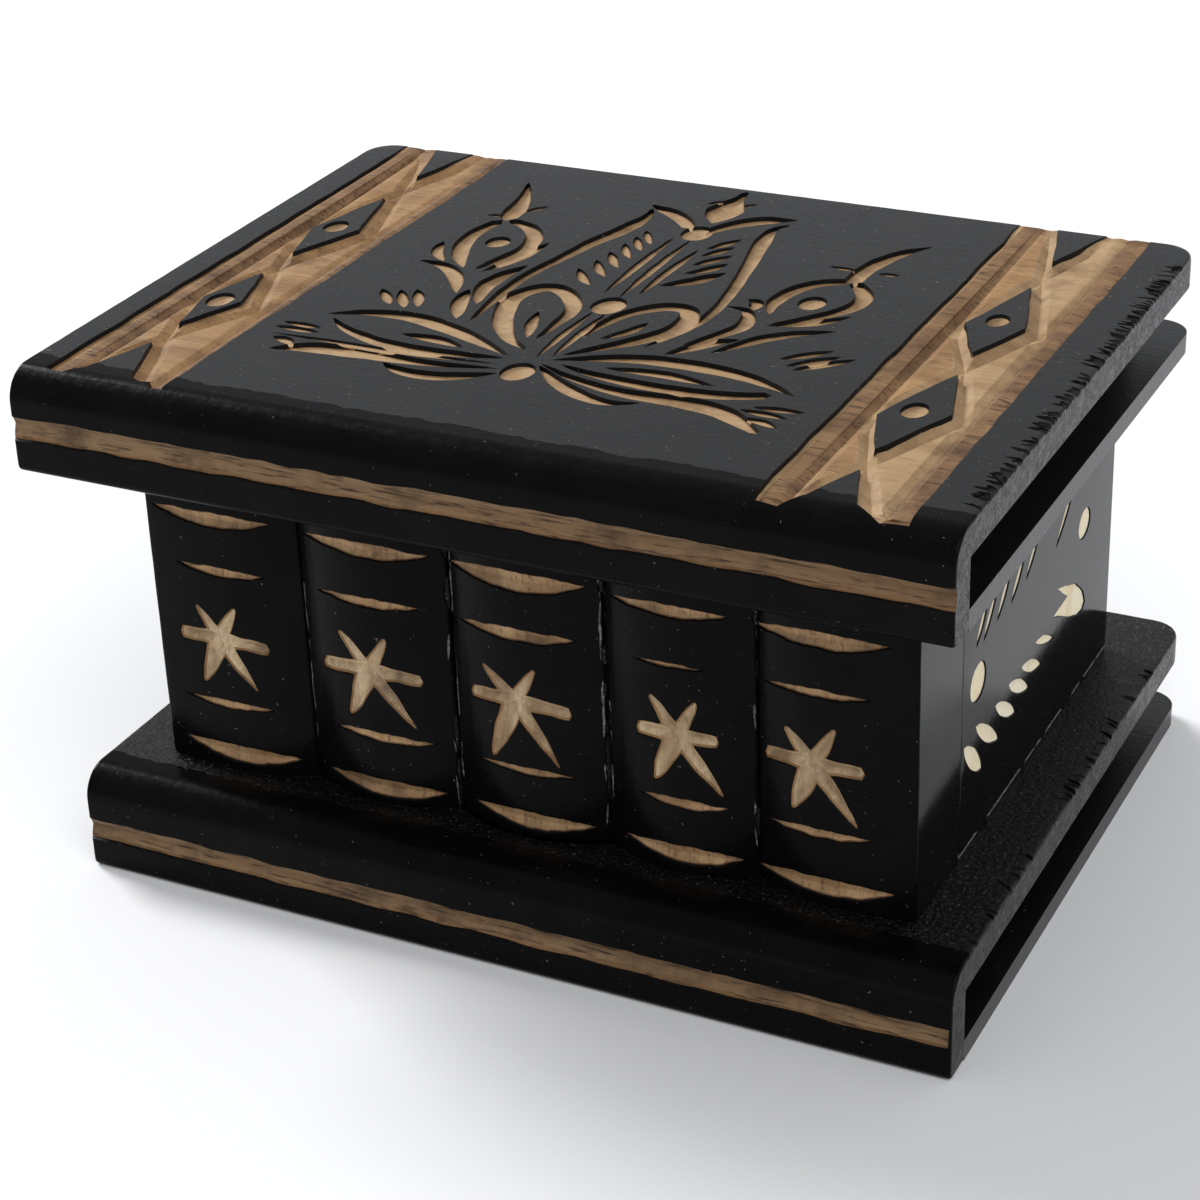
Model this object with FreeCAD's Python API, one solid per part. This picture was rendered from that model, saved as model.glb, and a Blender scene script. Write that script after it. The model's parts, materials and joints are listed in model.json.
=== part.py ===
import FreeCAD, Part
import math
import os

# Book-shaped puzzle box. Millimetres, +Z up, +X along the front, -Y is the front.
# Origin: centre of the overall footprint, on the surface the box stands on.

# ---- driving dimensions ----
LID_WIDTH = 130.0
LID_FRONT, LID_BACK = -52.2, 45.2          # the closed lid overhangs more at the front
BASE_WIDTH = 128.8
BASE_FRONT, BASE_BACK = -48.2, 52.2
BODY_WIDTH = 111.6
BODY_BACK = 41.0

BASE_T = 15.2                              # thickness of the lower "book"
BODY_TOP = 63.2
LID_BOTTOM = 63.4
LID_T = 14.2                               # thickness of the upper "book"

SPINE_T = 5.0                              # book spine strip, front to back
SPINE_EDGE_R = 4.5                         # rounded upper front edge of each spine
SPINE_LOWER_R = 1.0
COVER_CORNER_R = 4.5                       # plan radius of the covers' back corners
BASE_TOP_COVER_T, BASE_LOWER_COVER_T = 4.45, 3.05
LID_TOP_COVER_T, LID_LOWER_COVER_T = 4.5, 2.9
PAGE_RECESS = 7.0                          # page blocks stand back from the cover edges

SPINE_GROOVE_W, SPINE_GROOVE_D = 3.3, 0.8  # gouged groove along each spine
BASE_GROOVE_Z = 6.1
LID_GROOVE_Z = LID_BOTTOM + 6.4

VALLEYS = (-33.2, -10.6, 12.2, 33.4)       # x of the V between neighbouring book spines
VALLEY_Y, CROWN_Y, OUTER_EDGE_Y = -35.6, -38.8, -38.0
FRONT_WALL_BACK = -22.4
DOVETAIL_FLARE = 1.7                       # book 3 widens by this much each side at its back
DOVETAIL_BACK = -33.1
SLIDE_GAP = 0.2                            # clearance round the parts that slide

PANEL_T = 6.0
FLOOR_T = 2.0

BOOK_DROP = 11.5                           # book 3 sinks this far to bare the keyhole
DRAWER_X = (8.0, 57.4)
DRAWER_Y = (-27.8, 10.0)
DRAWER_WALL, DRAWER_LATCH_WALL, DRAWER_FLOOR = 3.0, 4.6, 1.8
LATCH_X = (14.0, 22.0)
LATCH_TRAVEL = 3.0
CORE_GAP = 0.2

LOCK_X, LOCK_Z = 0.8, 56.5                 # axis of the key
CASE_W, CASE_WALL = 11.9, 0.8
CASE_FRONT, CASE_Z = -28.0, (47.0, 63.0)
BOLT_W, BOLT_T, BOLT_Z = 10.0, 1.6, (50.5, 62.6)
BOLT_FRONT = -27.1
CRANK_R, CRANK_PIN_R = 2.4, 0.8            # crank pin that lifts the bolt
CRANK_REST_DEG = -45.0
HUB_R, DISC_R = 1.5, 4.0
BOLT_TRAVEL = 2 * CRANK_R * math.sin(math.radians(45.0))
COVER_W, COVER_T = 22.0, 0.8

HINGE_X, HINGE_W, HINGE_MIDDLE = 30.0, 16.0, 5.8
HINGE_Y, HINGE_Z = 42.4, 62.0
KNUCKLE_R, PIN_R, PIN_FIT = 1.3, 0.6, 0.05
LEAF_T = 0.6
SCREW_R, SCREW_HEAD_R = 0.7, 1.3

OUT = "parts"
HALF_BASE = BASE_WIDTH / 2
HALF_LID = LID_WIDTH / 2
HALF_BODY = BODY_WIDTH / 2
X, Y, Z = FreeCAD.Vector(1, 0, 0), FreeCAD.Vector(0, 1, 0), FreeCAD.Vector(0, 0, 1)


def V(x, y, z=0.0):
    return FreeCAD.Vector(x, y, z)


def box(x, y, z):
    """Box from three (low, high) pairs."""
    return Part.makeBox(x[1] - x[0], y[1] - y[0], z[1] - z[0], V(x[0], y[0], z[0]))


def rod(radius, start, direction, length):
    return Part.makeCylinder(radius, length, start, direction)


def extrude(edges, low, high):
    """Closed outline in the XY plane, raised between two heights."""
    face = Part.Face(Part.Wire(edges))
    face.translate(V(0, 0, low))
    return face.extrude(V(0, 0, high - low))


def polyline(points):
    vectors = [V(*p) for p in points]
    return [Part.LineSegment(a, b).toShape() for a, b in zip(vectors[:-1], vectors[1:])]


def arc(a, middle, b):
    return Part.Arc(V(*a), V(*middle), V(*b)).toShape()


# ---- the two lying "books": spine strip, covers and page block ----

def spine(half_width, front, low, high, groove_z):
    """Front strip with a rounded upper edge and a gouged groove along its face."""
    strip = box((-half_width, half_width), (front, front + SPINE_T), (low, high))
    for radius, level in ((SPINE_EDGE_R, high), (SPINE_LOWER_R, low)):
        edge = [e for e in strip.Edges if on_line(e, front, level)]
        strip = strip.makeFillet(radius, edge)
    groove_r = (SPINE_GROOVE_W ** 2 / 4 + SPINE_GROOVE_D ** 2) / (2 * SPINE_GROOVE_D)
    axis = V(-half_width - 1, front + SPINE_GROOVE_D - groove_r, groove_z)
    return strip.cut(rod(groove_r, axis, X, 2 * half_width + 2))


def on_line(edge, y, z):
    """True for a straight edge that runs along X at this y and z."""
    return all(abs(v.Point.y - y) < 1e-6 and abs(v.Point.z - z) < 1e-6 for v in edge.Vertexes)


def cover(half_width, front, back, low, high):
    """Cover board behind the spine, with rounded back corners."""
    board = box((-half_width, half_width), (front + SPINE_T, back), (low, high))
    corners = [e for e in board.Edges if is_back_corner(e, back)]
    return board.makeFillet(COVER_CORNER_R, corners)


def is_back_corner(edge, back):
    ends = [v.Point for v in edge.Vertexes]
    upright = abs(ends[0].x - ends[1].x) < 1e-6 and abs(ends[0].y - ends[1].y) < 1e-6
    return upright and abs(ends[0].y - back) < 1e-6


def flared_block(side, inner_x, half_width, y_from, y_to, low, high):
    """Page block piece whose outer side sweeps out to the spine in a cutter's curve."""
    page_x = half_width - PAGE_RECESS
    bend = PAGE_RECESS * (1 - math.sqrt(0.5))
    flare = [
        Part.LineSegment(V(inner_x, y_from), V(side * half_width, y_from)).toShape(),
        arc((side * half_width, y_from),
            (side * (page_x + bend), y_from + bend),
            (side * page_x, y_from + PAGE_RECESS)),
    ]
    rest = polyline([(side * page_x, y_from + PAGE_RECESS), (side * page_x, y_to),
                     (inner_x, y_to), (inner_x, y_from)])
    return extrude(flare + rest, low, high)


# ---- the five upright book spines that make the front wall ----

def book_front(x0, x1, y0, y1):
    """Convex front of one book spine, from its left edge to its right edge."""
    return arc((x0, y0), ((x0 + x1) / 2, CROWN_Y), (x1, y1))


def book_block(x0, x1, undercut_left=False, undercut_right=False):
    """Fixed book: a full-depth block, undercut on the side where book 3 slides."""
    y0 = OUTER_EDGE_Y if x0 <= -HALF_BODY else VALLEY_Y
    y1 = OUTER_EDGE_Y if x1 >= HALF_BODY else VALLEY_Y
    right = [(x1, y1)]
    left = [(x0, y0)]
    if undercut_right:
        right += [(x1 - DOVETAIL_FLARE, DOVETAIL_BACK), (x1 - DOVETAIL_FLARE, FRONT_WALL_BACK)]
    else:
        right += [(x1, FRONT_WALL_BACK)]
    if undercut_left:
        left += [(x0 + DOVETAIL_FLARE, DOVETAIL_BACK), (x0 + DOVETAIL_FLARE, FRONT_WALL_BACK)]
    else:
        left += [(x0, FRONT_WALL_BACK)]
    edges = [book_front(x0, x1, y0, y1)] + polyline(right + left[::-1])
    return extrude(edges, BASE_T, BODY_TOP)


def slide_outline(gap, crown_lift=0.0):
    """Outline of book 3 shrunk by gap. Gap 0 and a crown lift give the channel it runs in."""
    x0, x1 = VALLEYS[1] + gap, VALLEYS[2] - gap
    crown = arc((x0, VALLEY_Y), ((x0 + x1) / 2, CROWN_Y - crown_lift), (x1, VALLEY_Y))
    # the sides widen towards the back, so the neighbouring books hold book 3 in
    back = DOVETAIL_BACK - gap
    sides = polyline([(x1, VALLEY_Y), (x1 + DOVETAIL_FLARE, back),
                      (x0 - DOVETAIL_FLARE, back), (x0, VALLEY_Y)])
    return [crown] + sides


def lock_board():
    """Board behind book 3, with the lock mortise, the keyhole and the plate's seat."""
    x = (VALLEYS[1] - DOVETAIL_FLARE, VALLEYS[2] + DOVETAIL_FLARE)
    board = box(x, (DOVETAIL_BACK + SLIDE_GAP, FRONT_WALL_BACK), (BASE_T, BODY_TOP))
    mortise = box((LOCK_X - CASE_W / 2, LOCK_X + CASE_W / 2),
                  (CASE_FRONT, FRONT_WALL_BACK), (CASE_Z[0], BODY_TOP))
    board = board.cut(mortise).cut(keyhole(DOVETAIL_BACK, CASE_FRONT))
    board = board.cut(keyhole_plate_blank())
    return board.cut(Part.makeCompound(lock_screws()))


# ---- base: the lower "book" with the hidden drawer ----

def base_core():
    """Page block of the base in pieces, round the drawer, the latch and book 3's pocket."""
    z = (BASE_LOWER_COVER_T, BASE_T - BASE_TOP_COVER_T)
    front = BASE_FRONT + SPINE_T
    back = BASE_BACK - PAGE_RECESS
    page_x = HALF_BASE - PAGE_RECESS
    pocket_x = (VALLEYS[1] - DOVETAIL_FLARE - SLIDE_GAP, VALLEYS[2] + DOVETAIL_FLARE + SLIDE_GAP)
    front_back = DRAWER_Y[0] - CORE_GAP
    inner = DRAWER_X[0] - CORE_GAP
    behind_drawer = DRAWER_Y[1] + CORE_GAP
    return {
        "base_pages_front_left": flared_block(-1, pocket_x[0], HALF_BASE, front, front_back, *z),
        "base_pages_front_middle": box(pocket_x, (DOVETAIL_BACK + SLIDE_GAP, front_back), z),
        "base_pages_front_right": flared_block(1, pocket_x[1], HALF_BASE, front, front_back, *z),
        "base_pages_left": box((-page_x, inner), (front_back, back), z),
        "base_pages_back_inner": box((inner, LATCH_X[0] - CORE_GAP), (behind_drawer, back), z),
        "base_pages_back_right": box((LATCH_X[1] + CORE_GAP, page_x), (behind_drawer, back), z),
    }


def drawer_tray():
    """Hidden drawer: one hollowed block. A notch in its inner wall takes the latch."""
    z = (BASE_LOWER_COVER_T + CORE_GAP, BASE_T - BASE_TOP_COVER_T - CORE_GAP)
    tray = box(DRAWER_X, DRAWER_Y, z)
    hollow = box((DRAWER_X[0] + DRAWER_WALL, DRAWER_X[1] - DRAWER_WALL),
                 (DRAWER_Y[0] + DRAWER_WALL, DRAWER_Y[1] - DRAWER_LATCH_WALL),
                 (z[0] + DRAWER_FLOOR, z[1]))
    notch = box((LATCH_X[0] - SLIDE_GAP, LATCH_X[1] + SLIDE_GAP),
                (DRAWER_Y[1] - LATCH_TRAVEL - 0.3, DRAWER_Y[1]), z)
    return tray.cut(hollow).cut(notch)


def latch_slider():
    """Strip in the page block; pushed in, it locks the drawer."""
    z = (BASE_LOWER_COVER_T + CORE_GAP, BASE_T - BASE_TOP_COVER_T - CORE_GAP)
    return box(LATCH_X, (DRAWER_Y[1] + 0.4, BASE_BACK - PAGE_RECESS), z)


def key():
    """Flat key lying along the drawer's front wall."""
    z = BASE_LOWER_COVER_T + CORE_GAP + DRAWER_FLOOR
    y = DRAWER_Y[0] + DRAWER_WALL + 6.0
    bow_x, tip_x, shank_r, bow_r, bow_t = 19.0, 47.0, 1.1, 5.0, 2.0
    middle = z + shank_r
    bow = rod(bow_r, V(bow_x, y, middle - bow_t / 2), Z, bow_t)
    bow = bow.cut(rod(bow_r - 2.0, V(bow_x, y, middle - bow_t), Z, 2 * bow_t))
    shank = rod(shank_r, V(bow_x + bow_r - 1.0, y, middle), X, tip_x - bow_x - bow_r + 1.0)
    collar = rod(shank_r + 0.0, V(bow_x + bow_r, y, middle), X, 2.0)
    bit = box((tip_x - 5.5, tip_x - 1.5), (y, y + 4.0), (middle - 0.5, middle + 0.5))
    ward = box((tip_x - 4.0, tip_x - 3.0), (y + 2.4, y + 4.1), (z, z + 4.0))
    return bow.fuse([shank, collar, bit.cut(ward)]).removeSplitter()


# ---- lock ----

def keyhole(y_from, y_to):
    """Round hole with a slot below it, along Y at the key's axis."""
    hole = rod(1.9, V(LOCK_X, y_from, LOCK_Z), Y, y_to - y_from)
    slot = box((LOCK_X - 0.8, LOCK_X + 0.8), (y_from, y_to), (LOCK_Z - 4.2, LOCK_Z))
    return hole.fuse(slot)


def keyhole_plate_blank():
    front = DOVETAIL_BACK + SLIDE_GAP
    return box((LOCK_X - 4.5, LOCK_X + 4.5), (front, front + 0.5), (LOCK_Z - 5.6, LOCK_Z + 4.0))


def lock_case():
    """Open-backed steel case, let into the lock board; the bolt leaves through its top."""
    half = CASE_W / 2
    case = box((LOCK_X - half, LOCK_X + half), (CASE_FRONT, FRONT_WALL_BACK), CASE_Z)
    inside = half - CASE_WALL
    case = case.cut(box((LOCK_X - inside, LOCK_X + inside),
                        (CASE_FRONT + CASE_WALL, FRONT_WALL_BACK),
                        (CASE_Z[0] + CASE_WALL, CASE_Z[1] - CASE_WALL)))
    slot = box((LOCK_X - inside, LOCK_X + inside),
               (CASE_FRONT + CASE_WALL, BOLT_FRONT + BOLT_T + 0.1), (CASE_Z[1] - 2, CASE_Z[1]))
    hub_hole = rod(HUB_R + PIN_FIT, V(LOCK_X, CASE_FRONT - 1, LOCK_Z), Y, 3)
    return case.cut(slot).cut(hub_hole)


def lock_bolt():
    """Sliding bolt with a slot for the hub and a cross slot for the crank pin."""
    half = BOLT_W / 2
    bolt = box((LOCK_X - half, LOCK_X + half), (BOLT_FRONT, BOLT_FRONT + BOLT_T), BOLT_Z)
    through = (BOLT_FRONT - 1, BOLT_FRONT + BOLT_T + 1)
    hub_half = HUB_R + 0.15
    hub_slot = box((LOCK_X - hub_half, LOCK_X + hub_half), through,
                   (LOCK_Z - BOLT_TRAVEL - hub_half, LOCK_Z + hub_half))
    pin_z = LOCK_Z - BOLT_TRAVEL / 2
    pin_half = CRANK_PIN_R + 0.12
    pin_slot = box((LOCK_X, LOCK_X + CRANK_R + CRANK_PIN_R + 0.4), through,
                   (pin_z - pin_half, pin_z + pin_half))
    return bolt.cut(hub_slot).cut(pin_slot)


def lock_cam():
    """Key-turned disc with a hub through the case and a crank pin in the bolt's slot."""
    disc_front = BOLT_FRONT + BOLT_T + 0.2
    disc = rod(DISC_R, V(LOCK_X, disc_front, LOCK_Z), Y, 1.6)
    hub = rod(HUB_R, V(LOCK_X, CASE_FRONT, LOCK_Z), Y, disc_front - CASE_FRONT)
    journal = rod(HUB_R, V(LOCK_X, disc_front + 1.6, LOCK_Z), Y,
                  FRONT_WALL_BACK + COVER_T - disc_front - 1.6)
    angle = math.radians(CRANK_REST_DEG)
    pin_at = V(LOCK_X + CRANK_R * math.cos(angle), BOLT_FRONT + 0.2,
               LOCK_Z + CRANK_R * math.sin(angle))
    pin = rod(CRANK_PIN_R, pin_at, Y, disc_front - BOLT_FRONT)
    cam = disc.fuse([hub, journal, pin]).removeSplitter()
    socket = box((LOCK_X - 0.7, LOCK_X + 0.7), (CASE_FRONT - 1, disc_front), (LOCK_Z - 0.7, LOCK_Z + 0.7))
    return cam.cut(socket)


def lock_cover():
    plate = box((LOCK_X - COVER_W / 2, LOCK_X + COVER_W / 2),
                (FRONT_WALL_BACK, FRONT_WALL_BACK + COVER_T), (CASE_Z[0] - 2, CASE_Z[1]))
    plate = plate.cut(rod(HUB_R + PIN_FIT, V(LOCK_X, FRONT_WALL_BACK - 1, LOCK_Z), Y, 3))
    return plate.cut(Part.makeCompound(lock_screws()))


def lock_screws():
    spots = [(LOCK_X + dx, CASE_Z[0] + dz) for dx in (-8.5, 8.5) for dz in (0.5, 13.5)]
    head_y = FRONT_WALL_BACK + COVER_T
    return [screw(V(x, head_y, z), -Y, 0.5) for x, z in spots]


def screw(at, inward, head_t, length=4.5):
    """Round-head screw: the head stands outside the surface at this point."""
    head = rod(SCREW_HEAD_R, at - inward * head_t, inward, head_t)
    return head.fuse(rod(SCREW_R, at, inward, length)).removeSplitter()


# ---- lid: the upper "book" ----

def strike_plate_blank():
    y = BOLT_FRONT + BOLT_T / 2
    return box((LOCK_X - 10, LOCK_X + 10), (y - 3.2, y + 3.2), (LID_BOTTOM, LID_BOTTOM + LEAF_T))


def strike_hole(top):
    """Slot that the raised bolt enters."""
    y = BOLT_FRONT + BOLT_T / 2
    return box((LOCK_X - BOLT_W / 2 - 0.3, LOCK_X + BOLT_W / 2 + 0.3),
               (y - BOLT_T / 2 - 0.3, y + BOLT_T / 2 + 0.3), (LID_BOTTOM, top))


def strike_screws():
    y = BOLT_FRONT + BOLT_T / 2
    return [flush_screw(V(LOCK_X + dx, y, LID_BOTTOM), Z) for dx in (-7.6, 7.6)]


def flush_screw(at, inward):
    """Screw whose head is sunk level with the surface at this point."""
    head = rod(SCREW_HEAD_R, at, inward, 0.4)
    return head.fuse(rod(SCREW_R, at, inward, 4.0)).removeSplitter()


def lid_parts():
    lower_top = LID_BOTTOM + LID_LOWER_COVER_T
    upper_low = LID_BOTTOM + LID_T - LID_TOP_COVER_T
    top = LID_BOTTOM + LID_T
    front = LID_FRONT + SPINE_T
    back = LID_BACK - PAGE_RECESS
    screws = Part.makeCompound(strike_screws() + hinge_screws_lid())
    lower = cover(HALF_LID, LID_FRONT, LID_BACK, LID_BOTTOM, lower_top)
    lower = lower.cut(strike_plate_blank()).cut(strike_hole(lower_top))
    for side in (-1, 1):
        lower = lower.cut(lid_leaf_plate(side))
    pages = {}
    for name, side in (("left", -1), ("right", 1)):
        block = flared_block(side, 0.0, HALF_LID, front, back, lower_top, upper_low)
        pages["lid_pages_" + name] = block.cut(screws)
    return {
        "lid_spine": spine(HALF_LID, LID_FRONT, LID_BOTTOM, top, LID_GROOVE_Z),
        "lid_top_board": cover(HALF_LID, LID_FRONT, LID_BACK, upper_low, top),
        "lid_lower_board": lower.cut(screws),
        "strike_plate": strike_plate_blank().cut(strike_hole(lower_top)).cut(screws),
        "strike_screws": Part.makeCompound(strike_screws()),
        **pages,
    }


# ---- hinges ----

def knuckle(x0, x1):
    barrel = rod(KNUCKLE_R, V(x0, HINGE_Y, HINGE_Z), X, x1 - x0)
    return barrel.cut(rod(PIN_R + PIN_FIT, V(x0 - 1, HINGE_Y, HINGE_Z), X, x1 - x0 + 2))


def fixed_leaf(side):
    """Leaf on the back panel, with the two outer knuckles."""
    x = side * HINGE_X
    half, gap = HINGE_W / 2, HINGE_MIDDLE / 2 + 0.1
    plate = box((x - half, x + half), (BODY_BACK, BODY_BACK + LEAF_T), (53.0, HINGE_Z))
    plate = plate.cut(box((x - gap, x + gap), (BODY_BACK - 1, BODY_BACK + 2), (60.2, 63.0)))
    leaf = plate.fuse([knuckle(x - half, x - gap), knuckle(x + gap, x + half)]).removeSplitter()
    pin_bore = rod(PIN_R + PIN_FIT, V(x - half - 1, HINGE_Y, HINGE_Z), X, HINGE_W + 2)
    return leaf.cut(pin_bore).cut(Part.makeCompound(hinge_screws_body()))


def lid_leaf_plate(side):
    x = side * HINGE_X
    half = HINGE_W / 2
    return box((x - half, x + half), (33.0, HINGE_Y + KNUCKLE_R), (LID_BOTTOM, LID_BOTTOM + LEAF_T))


def lid_leaf(side):
    """Leaf let into the lid's underside; a web joins it to the middle knuckle."""
    x = side * HINGE_X
    half = HINGE_MIDDLE / 2
    web = box((x - half, x + half), (HINGE_Y + 0.7, HINGE_Y + KNUCKLE_R), (HINGE_Z, LID_BOTTOM))
    leaf = lid_leaf_plate(side).fuse([web, knuckle(x - half, x + half)]).removeSplitter()
    pin_bore = rod(PIN_R + PIN_FIT, V(x - half - 1, HINGE_Y, HINGE_Z), X, HINGE_MIDDLE + 2)
    return leaf.cut(pin_bore).cut(Part.makeCompound(hinge_screws_lid()))


def hinge_pins():
    start = HINGE_W / 2
    return [rod(PIN_R, V(s * HINGE_X - start, HINGE_Y, HINGE_Z), X, HINGE_W) for s in (-1, 1)]


def hinge_screws_body():
    spots = [side * HINGE_X + dx for side in (-1, 1) for dx in (-5.0, 5.0)]
    return [flush_screw(V(x, BODY_BACK + LEAF_T, 56.5), -Y) for x in spots]


def hinge_screws_lid():
    spots = [side * HINGE_X + dx for side in (-1, 1) for dx in (-5.0, 5.0)]
    return [flush_screw(V(x, 36.5, LID_BOTTOM), Z) for x in spots]


# ---- everything, by node name ----

def base_parts():
    channel = extrude(slide_outline(0.0, SLIDE_GAP), 0, BASE_T + 1)
    top = cover(HALF_BASE, BASE_FRONT, BASE_BACK, BASE_T - BASE_TOP_COVER_T, BASE_T)
    return {
        "base_spine": spine(HALF_BASE, BASE_FRONT, 0, BASE_T, BASE_GROOVE_Z),
        "base_top_board": top.cut(channel),
        "base_lower_board": cover(HALF_BASE, BASE_FRONT, BASE_BACK, 0, BASE_LOWER_COVER_T),
        **base_core(),
        "drawer_tray": drawer_tray(),
        "key": key(),
        "latch_slider": latch_slider(),
    }


def body_parts():
    edges = (-HALF_BODY,) + VALLEYS + (HALF_BODY,)
    wall = (BASE_T, BODY_TOP)
    inner = HALF_BODY - PANEL_T
    back_panel = box((-inner, inner), (BODY_BACK - PANEL_T, BODY_BACK), wall)
    return {
        "book_1": book_block(edges[0], edges[1]),
        "book_2": book_block(edges[1], edges[2], undercut_right=True),
        "book_3": extrude(slide_outline(SLIDE_GAP), BASE_T + SLIDE_GAP, BODY_TOP - SLIDE_GAP),
        "book_4": book_block(edges[3], edges[4], undercut_left=True),
        "book_5": book_block(edges[4], edges[5]),
        "lock_board": lock_board(),
        "side_left": box((-HALF_BODY, -inner), (FRONT_WALL_BACK, BODY_BACK), wall),
        "side_right": box((inner, HALF_BODY), (FRONT_WALL_BACK, BODY_BACK), wall),
        "back_panel": back_panel.cut(Part.makeCompound(hinge_screws_body())),
        "floor_panel": box((-inner, inner), (FRONT_WALL_BACK, BODY_BACK - PANEL_T),
                           (BASE_T, BASE_T + FLOOR_T)),
    }


def hardware():
    plate = keyhole_plate_blank().cut(keyhole(DOVETAIL_BACK, CASE_FRONT))
    return {
        "keyhole_plate": plate,
        "lock_case": lock_case(),
        "lock_bolt": lock_bolt(),
        "lock_cam": lock_cam(),
        "lock_cover": lock_cover(),
        "lock_screws": Part.makeCompound(lock_screws()),
        "hinge_leaf_left": fixed_leaf(-1),
        "hinge_leaf_right": fixed_leaf(1),
        "lid_leaf_left": lid_leaf(-1),
        "lid_leaf_right": lid_leaf(1),
        "hinge_pins": Part.makeCompound(hinge_pins()),
        "hinge_screws_body": Part.makeCompound(hinge_screws_body()),
        "hinge_screws_lid": Part.makeCompound(hinge_screws_lid()),
    }


os.makedirs(OUT, exist_ok=True)
for name, shape in {**base_parts(), **body_parts(), **lid_parts(), **hardware()}.items():
    shape.exportStep(f"{OUT}/{name}.step")
    print(name, len(shape.Solids), round(shape.Volume, 2), shape.isValid())
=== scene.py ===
"""Looks of a black lacquered puzzle box shaped like books, carved through to the bare wood."""

import json
import math
import random

import bmesh
import bpy
import numpy as np
from mathutils import Matrix, Vector, noise
from mathutils.geometry import delaunay_2d_cdt, tessellate_polygon


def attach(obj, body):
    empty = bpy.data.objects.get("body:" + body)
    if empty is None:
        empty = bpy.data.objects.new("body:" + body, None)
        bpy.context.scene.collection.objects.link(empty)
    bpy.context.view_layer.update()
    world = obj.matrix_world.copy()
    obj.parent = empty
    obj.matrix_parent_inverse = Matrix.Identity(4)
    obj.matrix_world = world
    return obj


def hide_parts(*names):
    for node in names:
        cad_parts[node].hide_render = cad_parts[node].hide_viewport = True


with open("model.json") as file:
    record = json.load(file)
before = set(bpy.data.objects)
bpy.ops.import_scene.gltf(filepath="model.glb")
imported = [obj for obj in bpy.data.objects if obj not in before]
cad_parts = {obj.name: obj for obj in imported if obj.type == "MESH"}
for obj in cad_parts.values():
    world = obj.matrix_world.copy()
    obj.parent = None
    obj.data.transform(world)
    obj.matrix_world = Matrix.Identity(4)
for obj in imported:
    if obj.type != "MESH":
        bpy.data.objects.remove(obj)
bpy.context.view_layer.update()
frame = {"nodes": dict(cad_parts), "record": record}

# ---- driving sizes, millimetres, in the CAD frame: X right, -Y front, Z up ----
MM = 0.001
LOWER_R = 1.0                       # small round along the bottom of each spine strip
EDGE_R = 4.5                        # large round along the top of each spine strip
CORNER_R = 4.5                      # plan radius of the covers' back corners
SPINE_T = 5.0
BOARD_T = 4.5

BODY_Z = (15.2, 63.2)
BODY_HALF = 55.8
BODY_BACK = 41.0
PANEL_T = 6.0
FRONT_BACK_Y = -22.4                # back face of the block that the books are cut from
CROWN_Y = -38.8                     # foremost line of each book spine
VALLEY_Y = -35.6
OUTER_Y = -38.0
BOOK_EDGES = (-BODY_HALF, -33.2, -10.6, 12.2, 33.4, BODY_HALF)
SLIDE_GAP = 0.2                     # clearance around book 3
FLARE = 1.7                         # book 3 widens by this much each side, to hold it in
FLARE_Y = -33.1

ROOM_HALF = 49.9                    # the inner room, with a little over each way
ROOM_Y = (-22.5, 35.1)
ROOM_Z = (15.0, 63.45)

GROOVE_W = 3.3
DULL_FRONT = 2.2                    # the dull lacquer of a spine reaches this far onto the top
WALL = 0.12                         # run of the steep wall of a cut
EDGE_ROLL = 0.45                    # worn edges are rounded by about this much
SIDE_ROLL = 0.4
WEAR_CHANGE = 0.35                  # share by which that rounding varies along an edge
WEAR_WAVE = 2.7                     # length over which it varies
SHARP_ANGLE = 28                    # degrees between faces from which an edge is crisp
MERGE = 0.002                       # points closer than this become one
TOUCH = 0.001                       # heights closer than this count as equal
SPAN_STEPS = 5                      # steps between two given points of a smooth line
BELOW_SHEET = -5.0                  # out of the rounding's reach

CAMERA_TURN = 0.4736                # radians from straight in front, towards the right
CAMERA_RISE = 0.4805                # radians above level

# Places of the materials in CARVED
BLACK, DULL_BLACK_AND_SHADE, FRONT_BLACK, ROUGH_BLACK, SIDE_BLACK, WORN_AND_GLINT, FOOT_GLINT = range(7)
PALE, MID_TONE_AND_SHADE, SHADE_BROWN, GROOVE, CREAM, STAR, LENS, INNER = range(7, 15)


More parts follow.
